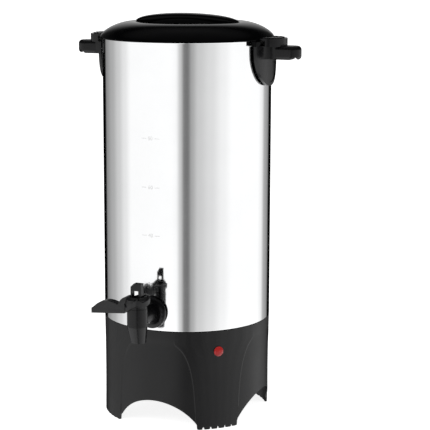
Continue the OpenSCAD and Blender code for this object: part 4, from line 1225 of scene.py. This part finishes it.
# light around the urn: share of a turn from behind it, and its brightness
STUDIO_BANDS = [
    (0.00, 0.0), (0.085, 0.0), (0.104, 0.28), (0.16, 0.44), (0.203, 0.64), (0.239, 0.84), (0.275, 1.05),
    (0.44, 1.08), (0.458, 1.04), (0.475, 0.62), (0.490, 0.20), (0.502, 0.18), (0.518, 0.42), (0.542, 0.63),
    (0.59, 0.77), (0.638, 0.95), (0.68, 1.08), (0.815, 1.08), (0.84, 0.95), (0.87, 0.42), (0.90, 0.3),
    (0.92, 0.0), (1.0, 0.0)
]
# brightness above the horizon: bright behind the urn, dim in front of it
STUDIO_BACK = [(0.0, 0.55), (0.012, 0.55), (0.06, 0.06), (0.94, 0.06), (0.988, 0.55), (1.0, 0.55)]
# by the sine of the angle above the horizon, or below it for FLOOR_GLOW
HORIZON = [(0.0, 0), (0.04, 1)]             # share of the light from above the horizon
BACK_FADE = [(0.30, 1), (0.55, 0.05)]       # share of STUDIO_BACK that is left
OVERHEAD = [(0.62, 0), (0.85, 0.22)]        # brightness added overhead
FLOOR_GLOW = [(0.24, 0), (0.45, 0.7)]       # share by which the bands brighten towards the floor


class URN_OT_stage(Operator):
    """Set the floor, the camera, the soft lights and the surroundings that the steel mirrors"""
    bl_idname = "urn.stage"
    bl_label = "Stage"

    def execute(self, context):
        stage = context.scene.urn_stage
        self.camera(context)
        self.floor()
        self.lights(stage)
        self.world(context, stage)
        context.scene.view_settings.view_transform = "Standard"
        return {"FINISHED"}

    def camera(self, context):
        data = bpy.data.cameras.new("camera")
        data.lens = CAMERA_LENS
        data.sensor_width = 36
        data.shift_x = CAMERA_SHIFT
        data.clip_end = 100
        camera = new_object("camera", data)
        camera.location = CAMERA_PLACE
        camera.rotation_euler = (math.radians(90 - CAMERA_DOWN), 0, math.radians(CAMERA_TURN))
        context.scene.camera = camera

    def floor(self):
        bm = bmesh.new()
        bmesh.ops.create_grid(bm, x_segments=1, y_segments=1, size=FLOOR_REACH)
        floor = new_object("floor", to_mesh("floor", bm))
        floor.visible_glossy = False
        surface = Surface("floor paper", (FLOOR_GREY, FLOOR_GREY, FLOOR_GREY, 1), 0.9)
        surface.set({"Specular IOR Level": 0, "Emission Color": (1, 1, 1, 1)})
        path = add(surface.tree, "ShaderNodeLightPath")
        shown = maths(surface.tree, "MULTIPLY", path.outputs["Is Camera Ray"], FLOOR_SHOWN)
        surface.tree.links.new(shown, surface.shader.inputs["Emission Strength"])
        floor.data.materials.append(surface.material)

    def lights(self, stage):
        for name, (turn, height, distance, size) in LIGHTS.items():
            data = bpy.data.lights.new(name, "AREA")
            data.shape = "SQUARE"
            data.size = size
            data.energy = getattr(stage, name)
            light = new_object(name, data)
            azimuth = stage.facing + math.radians(turn)
            light.location = (distance * math.cos(azimuth), distance * math.sin(azimuth), height)
            light.rotation_euler = (LIGHTS_AIM - light.location).to_track_quat("-Z", "Y").to_euler()
            light.visible_glossy = False

    def world(self, context, stage):
        """Bands of light that steel mirrors, an even light on the rest, and white for the camera."""
        world = bpy.data.worlds.new("studio")
        context.scene.world = world
        world.use_nodes = True
        world.cycles.sampling_method = "NONE"
        tree = world.node_tree
        direction = add(tree, "ShaderNodeTexCoord").outputs["Generated"]
        around = self.turn_share(tree, direction, stage.facing)
        parts = add(tree, "ShaderNodeSeparateXYZ")
        tree.links.new(direction, parts.inputs[0])
        height = parts.outputs["Z"]
        depth = maths(tree, "MULTIPLY", height, -1)
        behind = ramp(tree, around, STUDIO_BACK, "EASE")
        rising = maths(tree, "MULTIPLY", behind, ramp(tree, height, BACK_FADE, "EASE"))
        upper = maths(tree, "ADD", rising, ramp(tree, height, OVERHEAD))
        floor_glow = maths(tree, "ADD", 1, ramp(tree, depth, FLOOR_GLOW))
        lower = maths(tree, "MULTIPLY", ramp(tree, around, STUDIO_BANDS, "EASE"), floor_glow)
        mirrored = mixed(tree, "FLOAT", ramp(tree, height, HORIZON), lower, upper)
        path = add(tree, "ShaderNodeLightPath").outputs
        shown = mixed(tree, "FLOAT", path["Is Glossy Ray"], stage.ambient, mirrored)
        clear = maths(tree, "MAXIMUM", path["Is Camera Ray"], path["Is Transmission Ray"])
        background = tree.nodes["Background"]
        background.inputs["Color"].default_value = (1, 1, 1, 1)
        tree.links.new(mixed(tree, "FLOAT", clear, shown, 1), background.inputs["Strength"])

    def turn_share(self, tree, direction, facing):
        """Share of a turn about the urn's axis: 0 and 1 behind it, a half on the camera's side."""
        turn = add(tree, "ShaderNodeMapping")
        turn.inputs["Rotation"].default_value = (0, 0, -facing)
        tree.links.new(direction, turn.inputs["Vector"])
        gradient = add(tree, "ShaderNodeTexGradient", gradient_type="RADIAL")
        tree.links.new(turn.outputs["Vector"], gradient.inputs["Vector"])
        return gradient.outputs["Fac"]


class URN_PT_panel(Panel):
    """Lists the urn's settings and pieces"""
    bl_idname = "URN_PT_panel"
    bl_label = "Percolator urn"
    bl_space_type = "VIEW_3D"
    bl_region_type = "UI"
    bl_category = "Urn"

    def draw(self, context):
        for operator in OPERATORS:
            self.layout.operator(operator.bl_idname)
        for name in SETTINGS:
            box = self.layout.box()
            settings = getattr(context.scene, name)
            for key in settings.bl_rna.properties.keys():
                if key not in ("rna_type", "name"):
                    box.prop(settings, key)


SETTINGS = {
    "urn_tank": UrnTankSettings, "urn_base": UrnBaseSettings, "urn_lid": UrnLidSettings,
    "urn_finish": UrnFinishSettings, "urn_stage": UrnStageSettings,
}
OPERATORS = (
    URN_OT_stage, URN_OT_tank, URN_OT_level_marks, URN_OT_base, URN_OT_lid, URN_OT_handles, URN_OT_tap,
    URN_OT_inner_pieces,
)


def register():
    for cls in (*SETTINGS.values(), *OPERATORS, URN_PT_panel):
        bpy.utils.register_class(cls)
    for name, cls in SETTINGS.items():
        setattr(bpy.types.Scene, name, PointerProperty(type=cls))


def unregister():
    for name in SETTINGS:
        delattr(bpy.types.Scene, name)
    for cls in reversed((*SETTINGS.values(), *OPERATORS, URN_PT_panel)):
        bpy.utils.unregister_class(cls)


def main():
    register()
    for operator in OPERATORS:
        group, name = operator.bl_idname.split(".")
        getattr(getattr(bpy.ops, group), name)()
    bpy.context.view_layer.update()


if __name__ == "__main__":
    main()
